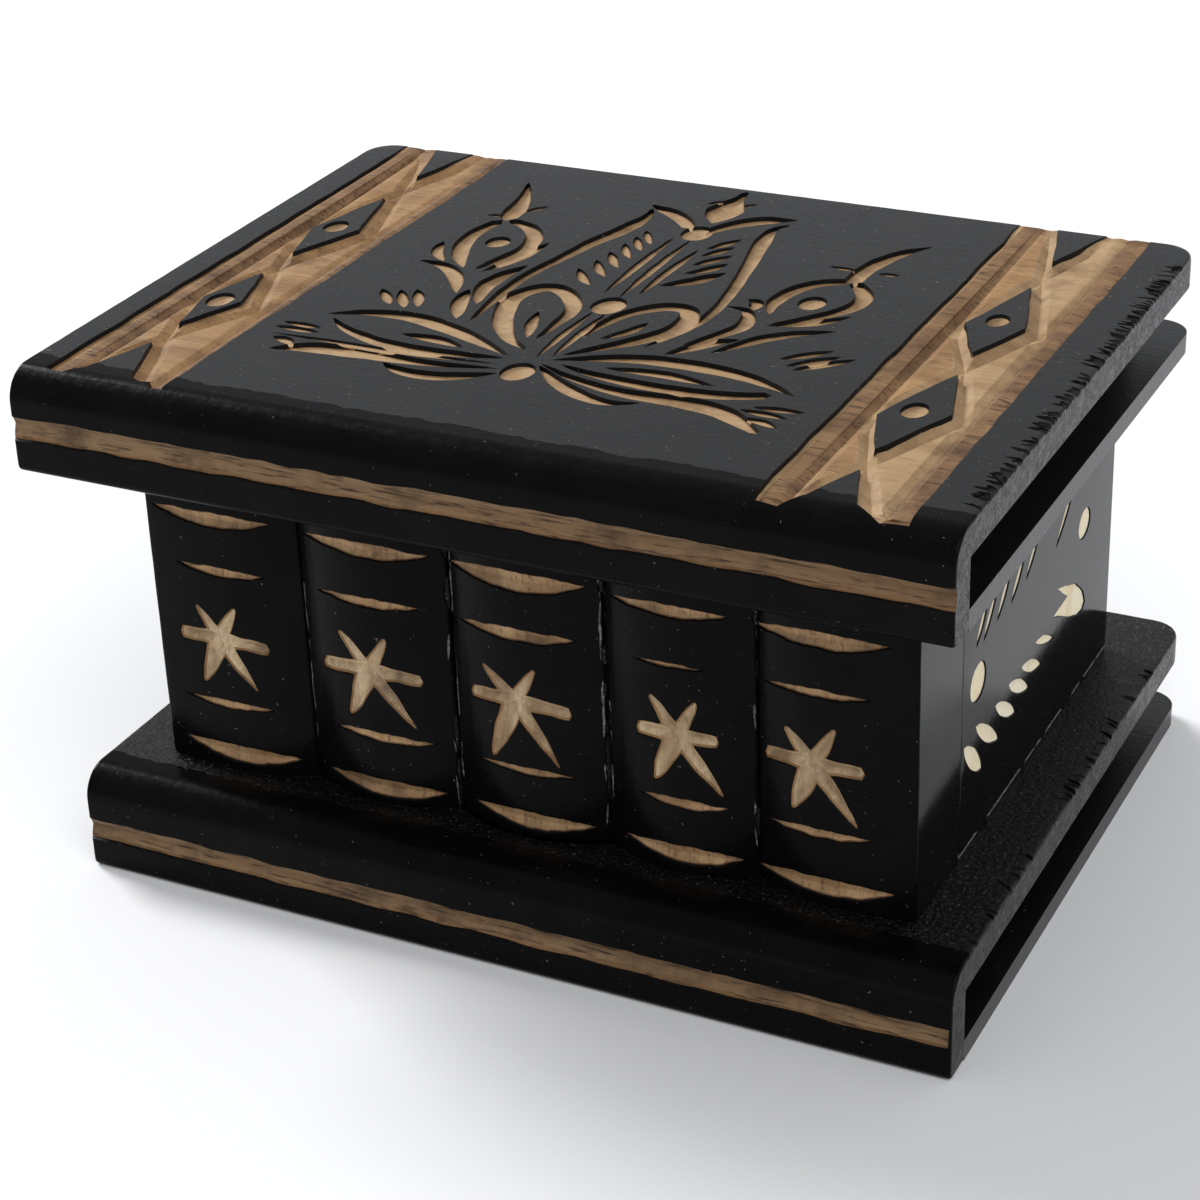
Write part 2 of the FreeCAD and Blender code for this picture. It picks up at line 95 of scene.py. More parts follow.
class Cover:
    """A lying book: a spine strip in front and the cover board behind its upper edge."""

    def __init__(self, half, front, back, low, high, groove_z):
        self.half, self.front, self.back = half, front, back
        self.low, self.high = low, high
        self.groove_z = groove_z
        self.board_low = high - BOARD_T
        self.spine_back = front + SPINE_T
        self.face_start = LOWER_R * math.pi / 2
        self.face_end = self.face_start + high - low - LOWER_R - EDGE_R
        self.top_start = self.face_end + EDGE_R * math.pi / 2
        self.top_end = self.top_start + back - front - EDGE_R

    def top(self, x, y):
        """Sheet coordinates of a point read off the top. Past the edge the sheet curves down."""
        past = y - self.front - EDGE_R
        return x, self.top_start + (past if past > 0 else past * 0.75)

    def on_front(self, z):
        """Distance up the sheet of a height on the flat front face."""
        return self.face_start + z - self.low - LOWER_R

    def place(self, uv, depth):
        """Points of the sheet: u runs along x, v up the front face and over the top."""
        s = uv[:, 1]
        parts = [s < self.face_start, s < self.face_end, s < self.top_start]
        low = s / LOWER_R
        high = (s - self.face_end) / EDGE_R
        ones, none = np.ones_like(s), np.zeros_like(s)
        y = np.select(parts, [self.front + LOWER_R * (1 - np.sin(low)), self.front * ones,
                              self.front + EDGE_R * (1 - np.cos(high))],
                      self.front + EDGE_R + s - self.top_start)
        z = np.select(parts, [self.low + LOWER_R * (1 - np.cos(low)),
                              self.low + LOWER_R + s - self.face_start,
                              self.high - EDGE_R * (1 - np.sin(high))], self.high)
        out_y = np.select(parts, [-np.sin(low), -ones, -np.cos(high)], none)
        out_z = np.select(parts, [-np.cos(low), none, np.sin(high)], ones)
        x = np.clip(uv[:, 0], -self.half, self.half)
        return np.column_stack([x, y - out_y * depth, z - out_z * depth])


LID = Cover(65.0, -52.2, 45.2, 63.4, 77.6, 69.8)
BASE = Cover(64.4, -48.2, 52.2, 0.0, 15.2, 6.1)


# ---- plane geometry ----

def smooth_line(points):
    """Points along a smooth curve through the given ones."""
    points = np.array(points, float)
    if len(points) == 2:
        middle = points.mean(axis=0)
        points = np.array([points[0], middle, points[1]])
    ends = np.vstack([2 * points[0] - points[1], points, 2 * points[-1] - points[-2]])
    t = (np.arange(SPAN_STEPS) / SPAN_STEPS)[:, None]
    spans = []
    for a, b, c, d in zip(ends, ends[1:], ends[2:], ends[3:]):
        bend = (2 * a - 5 * b + 4 * c - d) * t ** 2 + (3 * b - a - 3 * c + d) * t ** 3
        spans.append(0.5 * (2 * b + (c - a) * t + bend))
    return np.vstack(spans + [points[-1:]])


def side_steps(line):
    """Unit steps to the left of a line's direction, one per point."""
    along = np.gradient(line, axis=0)
    along /= np.linalg.norm(along, axis=1)[:, None] + 1e-9
    return np.column_stack([-along[:, 1], along[:, 0]])


def stroke(points, widths):
    """Outline of one pull of the knife. A single width is the widest; it tapers to both ends."""
    line = smooth_line(points)
    run = np.concatenate([[0], np.cumsum(np.linalg.norm(np.diff(line, axis=0), axis=1))])
    t = run / run[-1]
    if np.ndim(widths) == 0:
        half = widths / 2 * np.maximum(np.sin(math.pi * t), 0) ** 0.7
    else:
        half = np.interp(t, np.linspace(0, 1, len(widths)), widths) / 2
    side = side_steps(line) * half[:, None]
    left, right = line + side, line - side
    return np.vstack([line[:1], left[1:-1], line[-1:], right[-2:0:-1]])


def ellipse(centre, across, along, turn=0.0, count=18):
    """Outline of a dot, across by along, turned by so many degrees."""
    angle = np.linspace(0, 2 * math.pi, count, endpoint=False)
    turn = math.radians(turn)
    a, b = np.cos(angle) * across, np.sin(angle) * along
    return np.column_stack([centre[0] + a * math.cos(turn) - b * math.sin(turn),
                            centre[1] + a * math.sin(turn) + b * math.cos(turn)])


def densify_line(line, step=3.0):
    """An open line with extra points, no more than step apart."""
    out = []
    for a, b in zip(line, line[1:]):
        count = max(1, math.ceil(np.linalg.norm(b - a) / step))
        out += [a + (b - a) * i / count for i in range(count)]
    return np.array(out + [line[-1]])


def densify(loop, step):
    """A closed outline with extra points, no more than step apart."""
    return densify_line(np.vstack([loop, loop[:1]]), step)[:-1]


def signed_area(loop):
    """Area inside a closed outline, negative when it runs clockwise."""
    x, y = loop[:, 0], loop[:, 1]
    return 0.5 * np.sum(x * np.roll(y, -1) - np.roll(x, -1) * y)


def inset(loop, distance):
    """Closed outline moved inwards. Sharp tips move further, up to a limit."""
    if signed_area(loop) < 0:
        loop = loop[::-1]
    before = loop - np.roll(loop, 1, axis=0)
    after = np.roll(loop, -1, axis=0) - loop
    before /= np.linalg.norm(before, axis=1)[:, None] + 1e-9
    after /= np.linalg.norm(after, axis=1)[:, None] + 1e-9
    inward = np.column_stack([-(before + after)[:, 1], (before + after)[:, 0]])
    inward /= np.linalg.norm(inward, axis=1)[:, None] + 1e-9
    cosine = inward[:, 0] * -after[:, 1] + inward[:, 1] * after[:, 0]
    return loop + inward * (distance / np.clip(cosine, 0.2, 1))[:, None]


def line_distance(points, line, closed=False):
    """Distance from each point to a polyline."""
    a = line if closed else line[:-1]
    b = np.roll(line, -1, axis=0) if closed else line[1:]
    step = b - a
    away = points[:, None] - a[None]
    t = np.clip((away * step).sum(2) / ((step ** 2).sum(1) + 1e-12), 0, 1)
    return np.linalg.norm(away - t[..., None] * step, axis=2).min(axis=1)


def inside(points, loop):
    """True for points inside a closed outline."""
    a, b = loop, np.roll(loop, -1, axis=0)
    x, y = points[:, 0][:, None], points[:, 1][:, None]
    crosses = (a[:, 1] > y) != (b[:, 1] > y)
    rise = np.where(b[:, 1] == a[:, 1], 1e-12, b[:, 1] - a[:, 1])
    at = a[:, 0] + (y - a[:, 1]) / rise * (b[:, 0] - a[:, 0])
    return ((crosses & (x < at)) * np.sign(rise)).sum(1) != 0


def wobble(line, amount, wave=3.0, seed=0.0):
    """A line shaken a little, as a hand-guided knife leaves it."""
    out = np.array(line, float)
    for point in out:
        for axis in (0, 1):
            place = Vector((point[0] / wave, point[1] / wave, seed + 7.3 * axis))
            point[axis] += amount * noise.noise(place)
    return out


# ---- cuts and carved sheets ----

class Cut:
    """One area carved below the lacquer: a steep wall, then a floor that slopes to its middle.

    loops: the outline, then islands left standing. creases: (line, half width, extra depth).
    zones: (outline, material) on the floor. spines: lines that the mesh follows. run_out: (end,
    length, least share) fades the depth towards an end. rim: (distance, material) at the edge:
    darker wood there as painted shade beside the wall.
    """

    def __init__(self, loops, depth, slope=0.0, floor=PALE, wall=WALL, creases=(), zones=(),
                 spines=(), run_out=None, rim=None):
        self.loops = [np.array(loop, float) for loop in loops]
        self.depth, self.slope, self.floor, self.wall = depth, slope, floor, wall
        self.spines = spines
        self.run_out, self.rim = run_out, rim
        self.creases = [(np.array(line, float), half, extra) for line, half, extra in creases]
        self.zones = [(np.array(loop, float), material) for loop, material in zones]
        self.low = self.loops[0].min(axis=0)
        self.high = self.loops[0].max(axis=0)

    def lines(self):
        """Lines the mesh has to follow: (points, closed)."""
        out = [(loop, True) for loop in self.loops]
        out.append((inset(self.loops[0], self.wall), True))
        if self.rim:
            out.append((inset(self.loops[0], self.rim[0]), True))
        out += [(inset(loop, -self.wall), True) for loop in self.loops[1:]]
        for line, half, _ in self.creases:
            side = side_steps(line) * half
            out += [(line, False), (line + side, False), (line - side, False)]
        out += [(loop, True) for loop, _ in self.zones]
        out += [(line, False) for line in self.spines]
        return out

    def measure(self, points):
        """Depth and material at each point. Depth 0 outside the cut."""
        depth = np.zeros(len(points))
        material = np.full(len(points), BLACK)
        near = np.all((points >= self.low) & (points <= self.high), axis=1).nonzero()[0]
        if len(near) == 0:
            return depth, material
        near = near[inside(points[near], self.loops[0])]
        for island in self.loops[1:]:
            near = near[~inside(points[near], island)]
        if len(near) == 0:
            return depth, material
        close = points[near]
        edge = np.min([line_distance(close, loop, True) for loop in self.loops], axis=0)
        floor = np.maximum(edge - self.wall, 0)
        down = self.depth * np.minimum(edge / self.wall, 1) + self.slope * floor
        extra = np.zeros(len(near))
        for line, half, more in self.creases:
            lean = np.clip(1 - line_distance(close, line) / half, 0, 1)
            extra = np.maximum(extra, more * lean)
        depth[near] = down + extra * np.minimum(edge / self.wall, 1)
        if self.run_out:
            end, length, least = self.run_out
            depth[near] *= np.clip((end - close[:, 1]) / length, least, 1)
        kind = np.full(len(near), self.floor)
        # painted shade: a band of darker wood along the cut's edge, beside the wall
        if self.rim:
            kind[edge < self.rim[0]] = self.rim[1]
        # the steep walls are black: partly the lacquer's edge, partly painted shade on the walls
        kind[edge < self.wall * 0.9] = DULL_BLACK_AND_SHADE
        for loop, zone_material in self.zones:
            kind = np.where((kind != DULL_BLACK_AND_SHADE) & inside(close, loop), zone_material, kind)
        material[near] = kind
        return depth, material


def knife_cut(points, widths, depth, slope, floor=PALE, fit=None, shake=0.12, seed=0.0,
              rim=None):
    """One pull of the knife, deepest along its middle. fit moves it onto another surface."""
    shapes = [wobble(shape, shake, 2.5, seed)
              for shape in (stroke(points, widths), smooth_line(points)[1:-1])]
    if fit:
        shapes = [fit(shape) for shape in shapes]
    return Cut([shapes[0]], depth, slope, floor, spines=[shapes[1]], rim=rim)


def dot_cut(centre, across, along, depth, slope, floor=PALE, seed=0.0):
    """A round hollow, deepest in its middle."""
    rings = [wobble(ellipse(centre, across * part, along * part), 0.12, 3, seed)
             for part in (1.0, 0.55)]
    hub = np.array([centre, (centre[0] + 0.05, centre[1])], float)
    return Cut([rings[0]], depth, slope, floor, spines=[np.vstack([rings[1], rings[1][:1]]), hub])


def measure_all(cuts, points):
    """Deepest cut and its material at each point."""
    depth = np.zeros(len(points))
    material = np.full(len(points), BLACK)
    for cut in cuts:
        down, kind = cut.measure(points)
        deeper = down > depth
        depth[deeper] = down[deeper]
        material[deeper] = kind[deeper]
    return depth, material


def rolled(points, edge_loop, radius):
    """Depth of a worn, rounded edge. It varies along the edge, as sanding by hand leaves it."""
    away = line_distance(points, edge_loop, True)
    depth = np.zeros(len(points))
    for i in (away < radius).nonzero()[0]:
        x, y = points[i]
        wear = 1 + WEAR_CHANGE * noise.noise(Vector((x / WEAR_WAVE, y / WEAR_WAVE, 1.5)))
        back = radius - away[i]
        depth[i] = wear * (radius - math.sqrt(max(radius ** 2 - back ** 2, 0)))
    return depth


def flat_mesh(domain, holes, rows, cuts):
    """Triangles over the sheet's plane that follow every outline. Returns points and faces."""
    points, edges = [], []
    lines = [(domain, True)] + [(hole, True) for hole in holes] + rows
    for cut in cuts:
        lines += cut.lines()
    for line, closed in lines:
        first = len(points)
        points += [Vector(p) for p in line.tolist()]
        count = len(line)
        edges += [(first + i, first + i + 1) for i in range(count - 1)]
        if closed:
            edges.append((first + count - 1, first))
    found, _, triangles, _, _, _ = delaunay_2d_cdt(points, edges, [], 0, MERGE)
    flat = np.array([p[:] for p in found])
    triangles = np.array([t[:] for t in triangles])
    middle = flat[triangles].mean(axis=1)
    keep = inside(middle, domain)
    for hole in holes:
        keep &= ~inside(middle, hole)
    return flat, triangles[keep]


def boundary_rings(bm):
    """Closed rings of vertices along the open edges of a mesh."""
    following = {}
    for edge in bm.edges:
        if edge.is_boundary:
            loop = edge.link_loops[0]
            following[loop.vert] = loop.link_loop_next.vert
    rings = []
    while following:
        start = next(iter(following))
        ring, vert = [], start
        while vert in following:
            ring.append(vert)
            vert = following.pop(vert)
        rings.append(ring)
    return rings


def drop_skirt(bm, ring, places):
    """Faces from a ring of vertices to new places. Equal places share one vertex."""
    made, below = {}, []
    for co in places:
        key = tuple(round(c, 3) for c in co)
        if key not in made:
            made[key] = bm.verts.new(co)
        below.append(made[key])
    count = len(ring)
    for i in range(count):
        j = (i + 1) % count
        corners = [ring[j], ring[i], below[i], below[j]]
        corners = [v for k, v in enumerate(corners) if v not in corners[:k]]
        if len(corners) > 2 and bm.faces.get(corners) is None:
            bm.faces.new(corners).material_index = ROUGH_BLACK
    return below


def distinct(verts):
    """The vertices in order, without repeats."""
    return list(dict.fromkeys(verts))


def fill(bm, rings, material=BLACK):
    """Flat faces that close a ring of vertices, leaving out the holes given after it."""
    verts = [v for ring in rings for v in ring]
    for a, b, c in tessellate_polygon([[v.co for v in ring] for ring in rings]):
        if bm.faces.get((verts[a], verts[b], verts[c])) is None:
            bm.faces.new((verts[a], verts[b], verts[c])).material_index = material


def carved_piece(name, domain, rows, cuts, place, close, uncut, holes=(), roll=EDGE_ROLL,
                 roll_loop=None):
    """A piece whose outer face is a carved sheet. close(bm, rings) shuts the rest of it.

    uncut(points) gives the material of the faces that no cut touches.
    """
    roll_loop = domain if roll_loop is None else roll_loop
    worn = [(inset(roll_loop, roll * part), True) for part in (0.12, 0.4, 1.0)]
    flat, triangles = flat_mesh(domain, list(holes), rows + worn, cuts)
    depth, _ = measure_all(cuts, flat)
    depth = np.maximum(depth, rolled(flat, roll_loop, roll))
    middle = flat[triangles].mean(axis=1)
    down, material = measure_all(cuts, middle)
    material = np.where(down > 0, material, uncut(middle))
    solid = place(flat, depth)
    bm = bmesh.new()
    verts = [bm.verts.new(co) for co in solid]
    for triangle, kind in zip(triangles, material):
        face = bm.faces.new([verts[i] for i in triangle])
        face.material_index = int(kind)
    bmesh.ops.delete(bm, geom=[v for v in bm.verts if not v.link_faces], context="VERTS")
    close(bm, boundary_rings(bm))
    bmesh.ops.recalc_face_normals(bm, faces=bm.faces)
    return finish_mesh(name, bm)


def finish_mesh(name, bm):
    """Object in metres with crisp edges where faces meet at an angle."""
    for face in bm.faces:
        face.smooth = True
    for edge in bm.edges:
        edge.smooth = edge.calc_face_angle(3.0) < math.radians(SHARP_ANGLE)
    bmesh.ops.scale(bm, vec=(MM, MM, MM), verts=bm.verts)
    mesh = bpy.data.meshes.new(name)
    bm.to_mesh(mesh)
    bm.free()
    piece = bpy.data.objects.new(name, mesh)
    bpy.context.scene.collection.objects.link(piece)
    for material in CARVED:
        mesh.materials.append(material)
    shading = piece.modifiers.new("even shading", "WEIGHTED_NORMAL")
    shading.keep_sharp = True
    return piece


# ---- materials ----

class Nodes:
    """Short words for building a node material."""

    def __init__(self, name):
        self.material = bpy.data.materials.new(name)
        self.material.use_nodes = True
        self.tree = self.material.node_tree
        self.shader = self.tree.nodes["Principled BSDF"]
        self.place = self.tree.nodes.new("ShaderNodeTexCoord").outputs["Object"]

    def put(self, value, socket):
        """Links a node output to a socket, or sets a plain value on it."""
        if isinstance(value, bpy.types.NodeSocket):
            self.tree.links.new(value, socket)
        else:
            socket.default_value = value

    def noise(self, scale, detail=4.0, rough=0.5, stretch=(1, 1, 1)):
        """Noise in object space. scale is in waves per metre, stretch thins it per axis."""
        mapping = self.tree.nodes.new("ShaderNodeMapping")
        mapping.inputs["Scale"].default_value = [scale * s for s in stretch]
        self.tree.links.new(self.place, mapping.inputs["Vector"])
        node = self.tree.nodes.new("ShaderNodeTexNoise")
        node.inputs["Scale"].default_value = 1.0
        node.inputs["Detail"].default_value = detail
        node.inputs["Roughness"].default_value = rough
        self.tree.links.new(mapping.outputs["Vector"], node.inputs["Vector"])
        return node.outputs["Fac"]

    def range(self, value, low, high, to_low=0.0, to_high=1.0):
        node = self.tree.nodes.new("ShaderNodeMapRange")
        for socket, number in zip(node.inputs[1:5], (low, high, to_low, to_high)):
            socket.default_value = number
        self.put(value, node.inputs["Value"])
        return node.outputs["Result"]

    def math(self, operation, a, b=0.0):
        node = self.tree.nodes.new("ShaderNodeMath")
        node.operation = operation
        self.put(a, node.inputs[0])
        self.put(b, node.inputs[1])
        return node.outputs["Value"]

    def mix(self, amount, a, b):
        """Blend of two colours."""
        node = self.tree.nodes.new("ShaderNodeMix")
        node.data_type = "RGBA"
        self.put(amount, node.inputs["Factor"])
        self.put(a, node.inputs[6])
        self.put(b, node.inputs[7])
        return node.outputs[2]

    def bump(self, height, strength, distance):
        node = self.tree.nodes.new("ShaderNodeBump")
        node.inputs["Strength"].default_value = strength
        node.inputs["Distance"].default_value = distance
        self.put(height, node.inputs["Height"])
        self.put(node.outputs["Normal"], self.shader.inputs["Normal"])

    def axis(self, index):
        node = self.tree.nodes.new("ShaderNodeSeparateXYZ")
        self.tree.links.new(self.place, node.inputs["Vector"])
        return node.outputs[index]

    def set(self, **values):
        for name, value in values.items():
            self.put(value, self.shader.inputs[name.replace("_", " ")])
        return self.material


def rgb(red, green, blue):
    """Linear colour from the 0-255 numbers of a screen colour."""
    def linear(c):
        c /= 255
        return c / 12.92 if c < 0.04045 else ((c + 0.055) / 1.055) ** 2.4
    return (linear(red), linear(green), linear(blue), 1.0)


def lacquer_colour(n, dust_from=0.735):
    """Black with a faint brown worn tone, and pale dust specks."""
    worn = n.range(n.noise(120, 5), 0.45, 0.75)
    colour = n.mix(worn, rgb(7, 7, 8), rgb(13, 12, 12))
    dust = n.range(n.noise(1900, 2, 0.4), dust_from, dust_from + 0.025)
    return n.mix(n.math("MULTIPLY", dust, 0.55), colour, rgb(120, 116, 112))


def lacquer_relief(n):
    """Orange peel, and the grain of the wood showing faintly through the lacquer."""
    peel = n.noise(1100, 3)
    fibre = n.noise(1500, 3, 0.6, (0.08, 1, 1))
    return n.math("ADD", peel, n.math("MULTIPLY", fibre, 0.6))


def black_lacquer(name="black_lacquer", rough=(0.2, 0.32), specular=0.3, lumps=0.3,
                  dust_from=0.735):
    """Black lacquer with orange peel. rough is the range of its roughness."""
    n = Nodes(name)
    n.bump(lacquer_relief(n), lumps, 0.0001)
    return n.set(Base_Color=lacquer_colour(n, dust_from), Specular_IOR_Level=specular,
                 Roughness=n.range(n.noise(900, 5), 0.3, 0.7, *rough))


def rough_lacquer(name):
    """Lacquer over end grain and in corners: lumpy, with scratches and caught dust."""
    n = Nodes(name)
    lumps = n.range(n.noise(1700, 4, 0.6), 0.5, 0.75)
    scratches = n.noise(1300, 4, 0.7, (1, 0.15, 1))
    n.bump(n.math("ADD", lumps, n.math("MULTIPLY", scratches, 0.8)), 0.7, 0.0003)
    return n.set(Base_Color=lacquer_colour(n, 0.69), Specular_IOR_Level=0.22,
                 Roughness=n.range(n.noise(600, 5), 0.3, 0.7, 0.22, 0.4))


def worn_and_glint_edge(name, grey=rgb(60, 57, 56), pale=rgb(128, 121, 114)):
    """Lacquer worn thin and dull, grey with wood showing through in spots; its pale lines also
    serve as painted glints.
    """
    n = Nodes(name)
    spots = n.range(n.noise(1400, 4, 0.6), 0.45, 0.6)
    n.bump(spots, 0.5, 0.0001)
    return n.set(Base_Color=n.mix(spots, grey, pale), Roughness=0.42)


def wood(name, pale, mid, dark, grain=(0.05, 1, 1), streak=0.25, darkness=(0.52, 0.75)):
    """Bare cut wood: soft bands, short dark streaks along the grain and scorched patches."""
    n = Nodes(name)
    bands = n.range(n.noise(260, 3, 0.5, grain), 0.35, 0.65)
    fibre = n.noise(3200, 4, 0.65, grain)
    colour = n.mix(bands, pale, mid)
    colour = n.mix(n.range(fibre, 0.42, 0.75, 0, 0.6), colour, mid)
    patch = n.range(n.noise(130, 4, 0.65), *darkness)
    colour = n.mix(n.math("MULTIPLY", patch, 0.7), colour, dark)
    dash = tuple(min(3 * g, 1) for g in grain)
    streaks = n.range(n.noise(1900, 3, 0.6, dash), 0.54, 0.66, 0, streak)
    colour = n.mix(streaks, colour, dark)
    n.bump(n.math("ADD", fibre, streaks), 0.5, 0.00015)
    return n.set(Base_Color=colour, Specular_IOR_Level=0.3,
                 Roughness=n.range(fibre, 0.3, 0.7, 0.5, 0.72))


def metal(name, colour, dull, rough):
    """Scratched metal with stains of the dull colour. rough is its least roughness."""
    n = Nodes(name)
    stain = n.range(n.noise(1500, 6, 0.6), 0.45, 0.8, 0, 0.6)
    scratch = n.noise(4000, 3, 0.6, (0.05, 1, 1))
    n.bump(scratch, 0.15, 0.00005)
    return n.set(Base_Color=n.mix(stain, colour, dull), Metallic=1.0,
                 Roughness=n.range(scratch, 0.3, 0.7, rough, rough + 0.2))


def box_inside(n, x_half, y, z):
    """1 inside a box given in millimetres, 0 outside it."""
    value = n.math("LESS_THAN", n.math("ABSOLUTE", n.axis(0)), x_half * MM)
    for axis, (low, high) in ((1, y), (2, z)):
        value = n.math("MULTIPLY", value, n.math("GREATER_THAN", n.axis(axis), low * MM))
        value = n.math("MULTIPLY", value, n.math("LESS_THAN", n.axis(axis), high * MM))
    return value


def lacquer_outside(name):
    """Black lacquer outside, bare wood on the faces of the inner room."""
    n = Nodes(name)
    room = box_inside(n, ROOM_HALF, ROOM_Y, ROOM_Z)
    fibre = n.noise(2400, 4, 0.6, (0.05, 1, 1))
    bare = n.mix(n.range(fibre, 0.35, 0.7), rgb(205, 172, 128), rgb(166, 128, 86))
    n.bump(lacquer_relief(n), 0.35, 0.00012)
    rough = n.math("MULTIPLY_ADD", room, 0.3)
    rough.node.inputs[2].default_value = 0.34
    return n.set(Base_Color=n.mix(room, lacquer_colour(n), bare), Roughness=rough)


UPRIGHT = (1, 1, 0.05)
BARE_WOOD = wood("bare_wood", rgb(206, 172, 128), rgb(168, 128, 86), rgb(120, 86, 54))
CARVED = [
    black_lacquer(),
    # black for the steep walls of cuts, partly the lacquer's edge and partly painted shade; also
    # the dull floor of the edge chips
    black_lacquer("cut_wall_lacquer_and_painted_shade", (0.4, 0.6), 0.2),
    black_lacquer("black_lacquer_front", (0.18, 0.28), 0.05, dust_from=0.75),
    rough_lacquer("black_lacquer_rough"),
    black_lacquer("black_lacquer_side", (0.07, 0.12), 0.1, lumps=0.06),
    # grey lines down the books' seams: partly worn lacquer, partly painted glints
    worn_and_glint_edge("worn_and_glint_edge"),
    # painted glint: a pale line along the foot of the side panels
    worn_and_glint_edge("painted_glint_line", rgb(116, 112, 110), rgb(176, 168, 158)),
    wood("cut_wood_pale", rgb(178, 148, 110), rgb(153, 122, 86), rgb(94, 66, 41)),
    # mid wood: a tone of its own on the left band's floor, and painted shade on band facets and
    # along cut edges
    wood("cut_wood_mid_and_painted_shade", rgb(166, 130, 88), rgb(134, 100, 63), rgb(80, 53, 31), streak=0.4),
    # brown wood: painted shade on the band strips, in the groove and along the lenses' edges
    wood("cut_wood_painted_shade_brown", rgb(138, 105, 70), rgb(107, 77, 48), rgb(56, 36, 22), streak=0.85),
    wood("cut_wood_groove", rgb(138, 111, 80), rgb(110, 83, 55), rgb(50, 33, 20), (0.03, 1, 1),
         streak=0.9, darkness=(0.48, 0.68)),
    wood("cut_wood_cream", rgb(255, 247, 222), rgb(252, 236, 200), rgb(226, 196, 150), UPRIGHT,
         streak=0.1),
    wood("cut_wood_star", rgb(212, 190, 156), rgb(158, 130, 97), rgb(84, 59, 37), UPRIGHT,
         darkness=(0.48, 0.7)),
    wood("cut_wood_lens", rgb(184, 150, 110), rgb(156, 122, 84), rgb(76, 52, 32), UPRIGHT,
         streak=0.55, darkness=(0.46, 0.68)),
    BARE_WOOD,
]
BODY_LACQUER = lacquer_outside("black_lacquer_outside")
STEEL = metal("steel", rgb(176, 176, 178), rgb(120, 118, 116), 0.28)
BRASS = metal("brass", rgb(196, 158, 84), rgb(126, 96, 50), 0.3)


# ---- the lid: two carved bands and the flower ----

LEFT_BAND = {
    "floor": MID_TONE_AND_SHADE,
    "outline": [(-60, 46.5), (-55.2, 46.5), (-51.5, 33.1), (-48.2, 46.5), (-42.1, 46.5),
                (-42.9, -49.6), (-44.8, -49.5), (-45.2, -47.9), (-46.6, -48.3), (-48.75, -47.2),
                (-52.6, -36.6), (-56, -46.8), (-58.4, -49.3), (-60.9, -48.9)],
    "diamonds": [[(-51.5, 22.9), (-48.3, 10), (-52.5, -1.3), (-55, 8.5)],
                 [(-52.2, -9.7), (-49.25, -19.9), (-53, -29.3), (-55.2, -20.1)]],
    "dots": [(-52, 10, 1.5), (-52.3, -20.4, 1.6)],
    "borders": [[(-44.6, 46.5), (-45.1, -48)], [(-56.6, 46.5), (-57.2, -48)]],
    "zigzags": [[(-46, 46), (-51.5, 28), (-46.2, 10.5), (-52.35, -5.5), (-46.6, -20),
                 (-52.8, -33), (-47, -47.5)],
                [(-57, 46), (-51.5, 28), (-56.6, 9), (-52.35, -5.5), (-56.9, -20),
                 (-52.8, -33), (-57.3, -47)]],
    # painted shade: the "shaded" and "brown" zones get darker wood where the band's facets turn
    # away from the light
    "shaded": [[(-57, 46), (-53, 28), (-57, 11)], [(-57, 7), (-53.6, -5.5), (-57, -18)],
               [(-57, -22), (-54.2, -33), (-57.5, -45)]],
    "brown": [[(-44.6, 47), (-41, 47), (-41, -50), (-45.1, -50)],
              [(-59.2, 47), (-56.6, 47), (-57.2, -50), (-59.8, -50)]],
}
RIGHT_BAND = {
    "floor": PALE,
    "outline": [(39.2, 46.5), (44.5, 46.5), (48.1, 32.9), (52.2, 46.5), (58.3, 46.5),
                (58.5, -50.9), (55, -51.2), (51.25, -47.6), (48.25, -39.05), (45, -47.6),
                (42.6, -51.2), (39.2, -50.9)],
    "diamonds": [[(48.3, 22.7), (52.3, 8.95), (48.6, -1.05), (44.4, 7.9)],
                 [(49.2, -8.4), (52.9, -20.3), (47.8, -33), (44.25, -23.4)]],
    "dots": [(48.1, 10.2, 1.4), (48.25, -20.7, 1.5)],
    "borders": [[(43, 46.5), (43, -49)], [(55, 46.5), (55, -49)]],
    "zigzags": [[(43.5, 46), (48.2, 28), (43.2, 8), (48.9, -4.7), (43.2, -23), (48, -36),
                 (43.4, -48)],
                [(53, 46), (48.2, 28), (54, 9), (48.9, -4.7), (54.4, -20), (48, -36),
                 (53.4, -48)]],
    # painted shade: the "shaded" and "brown" zones get darker wood where the band's facets turn
    # away from the light
    "shaded": [[(43, 46), (46.8, 28), (43, 10)], [(43, 6), (47.4, -4.7), (43, -21)],
               [(43, -25), (46.5, -36), (43.4, -47)]],
    "brown": [[(39.9, 47), (43, 47), (43, -52), (39.9, -52)],
              [(55, 47), (58.6, 47), (58.6, -52), (55, -52)]],
}

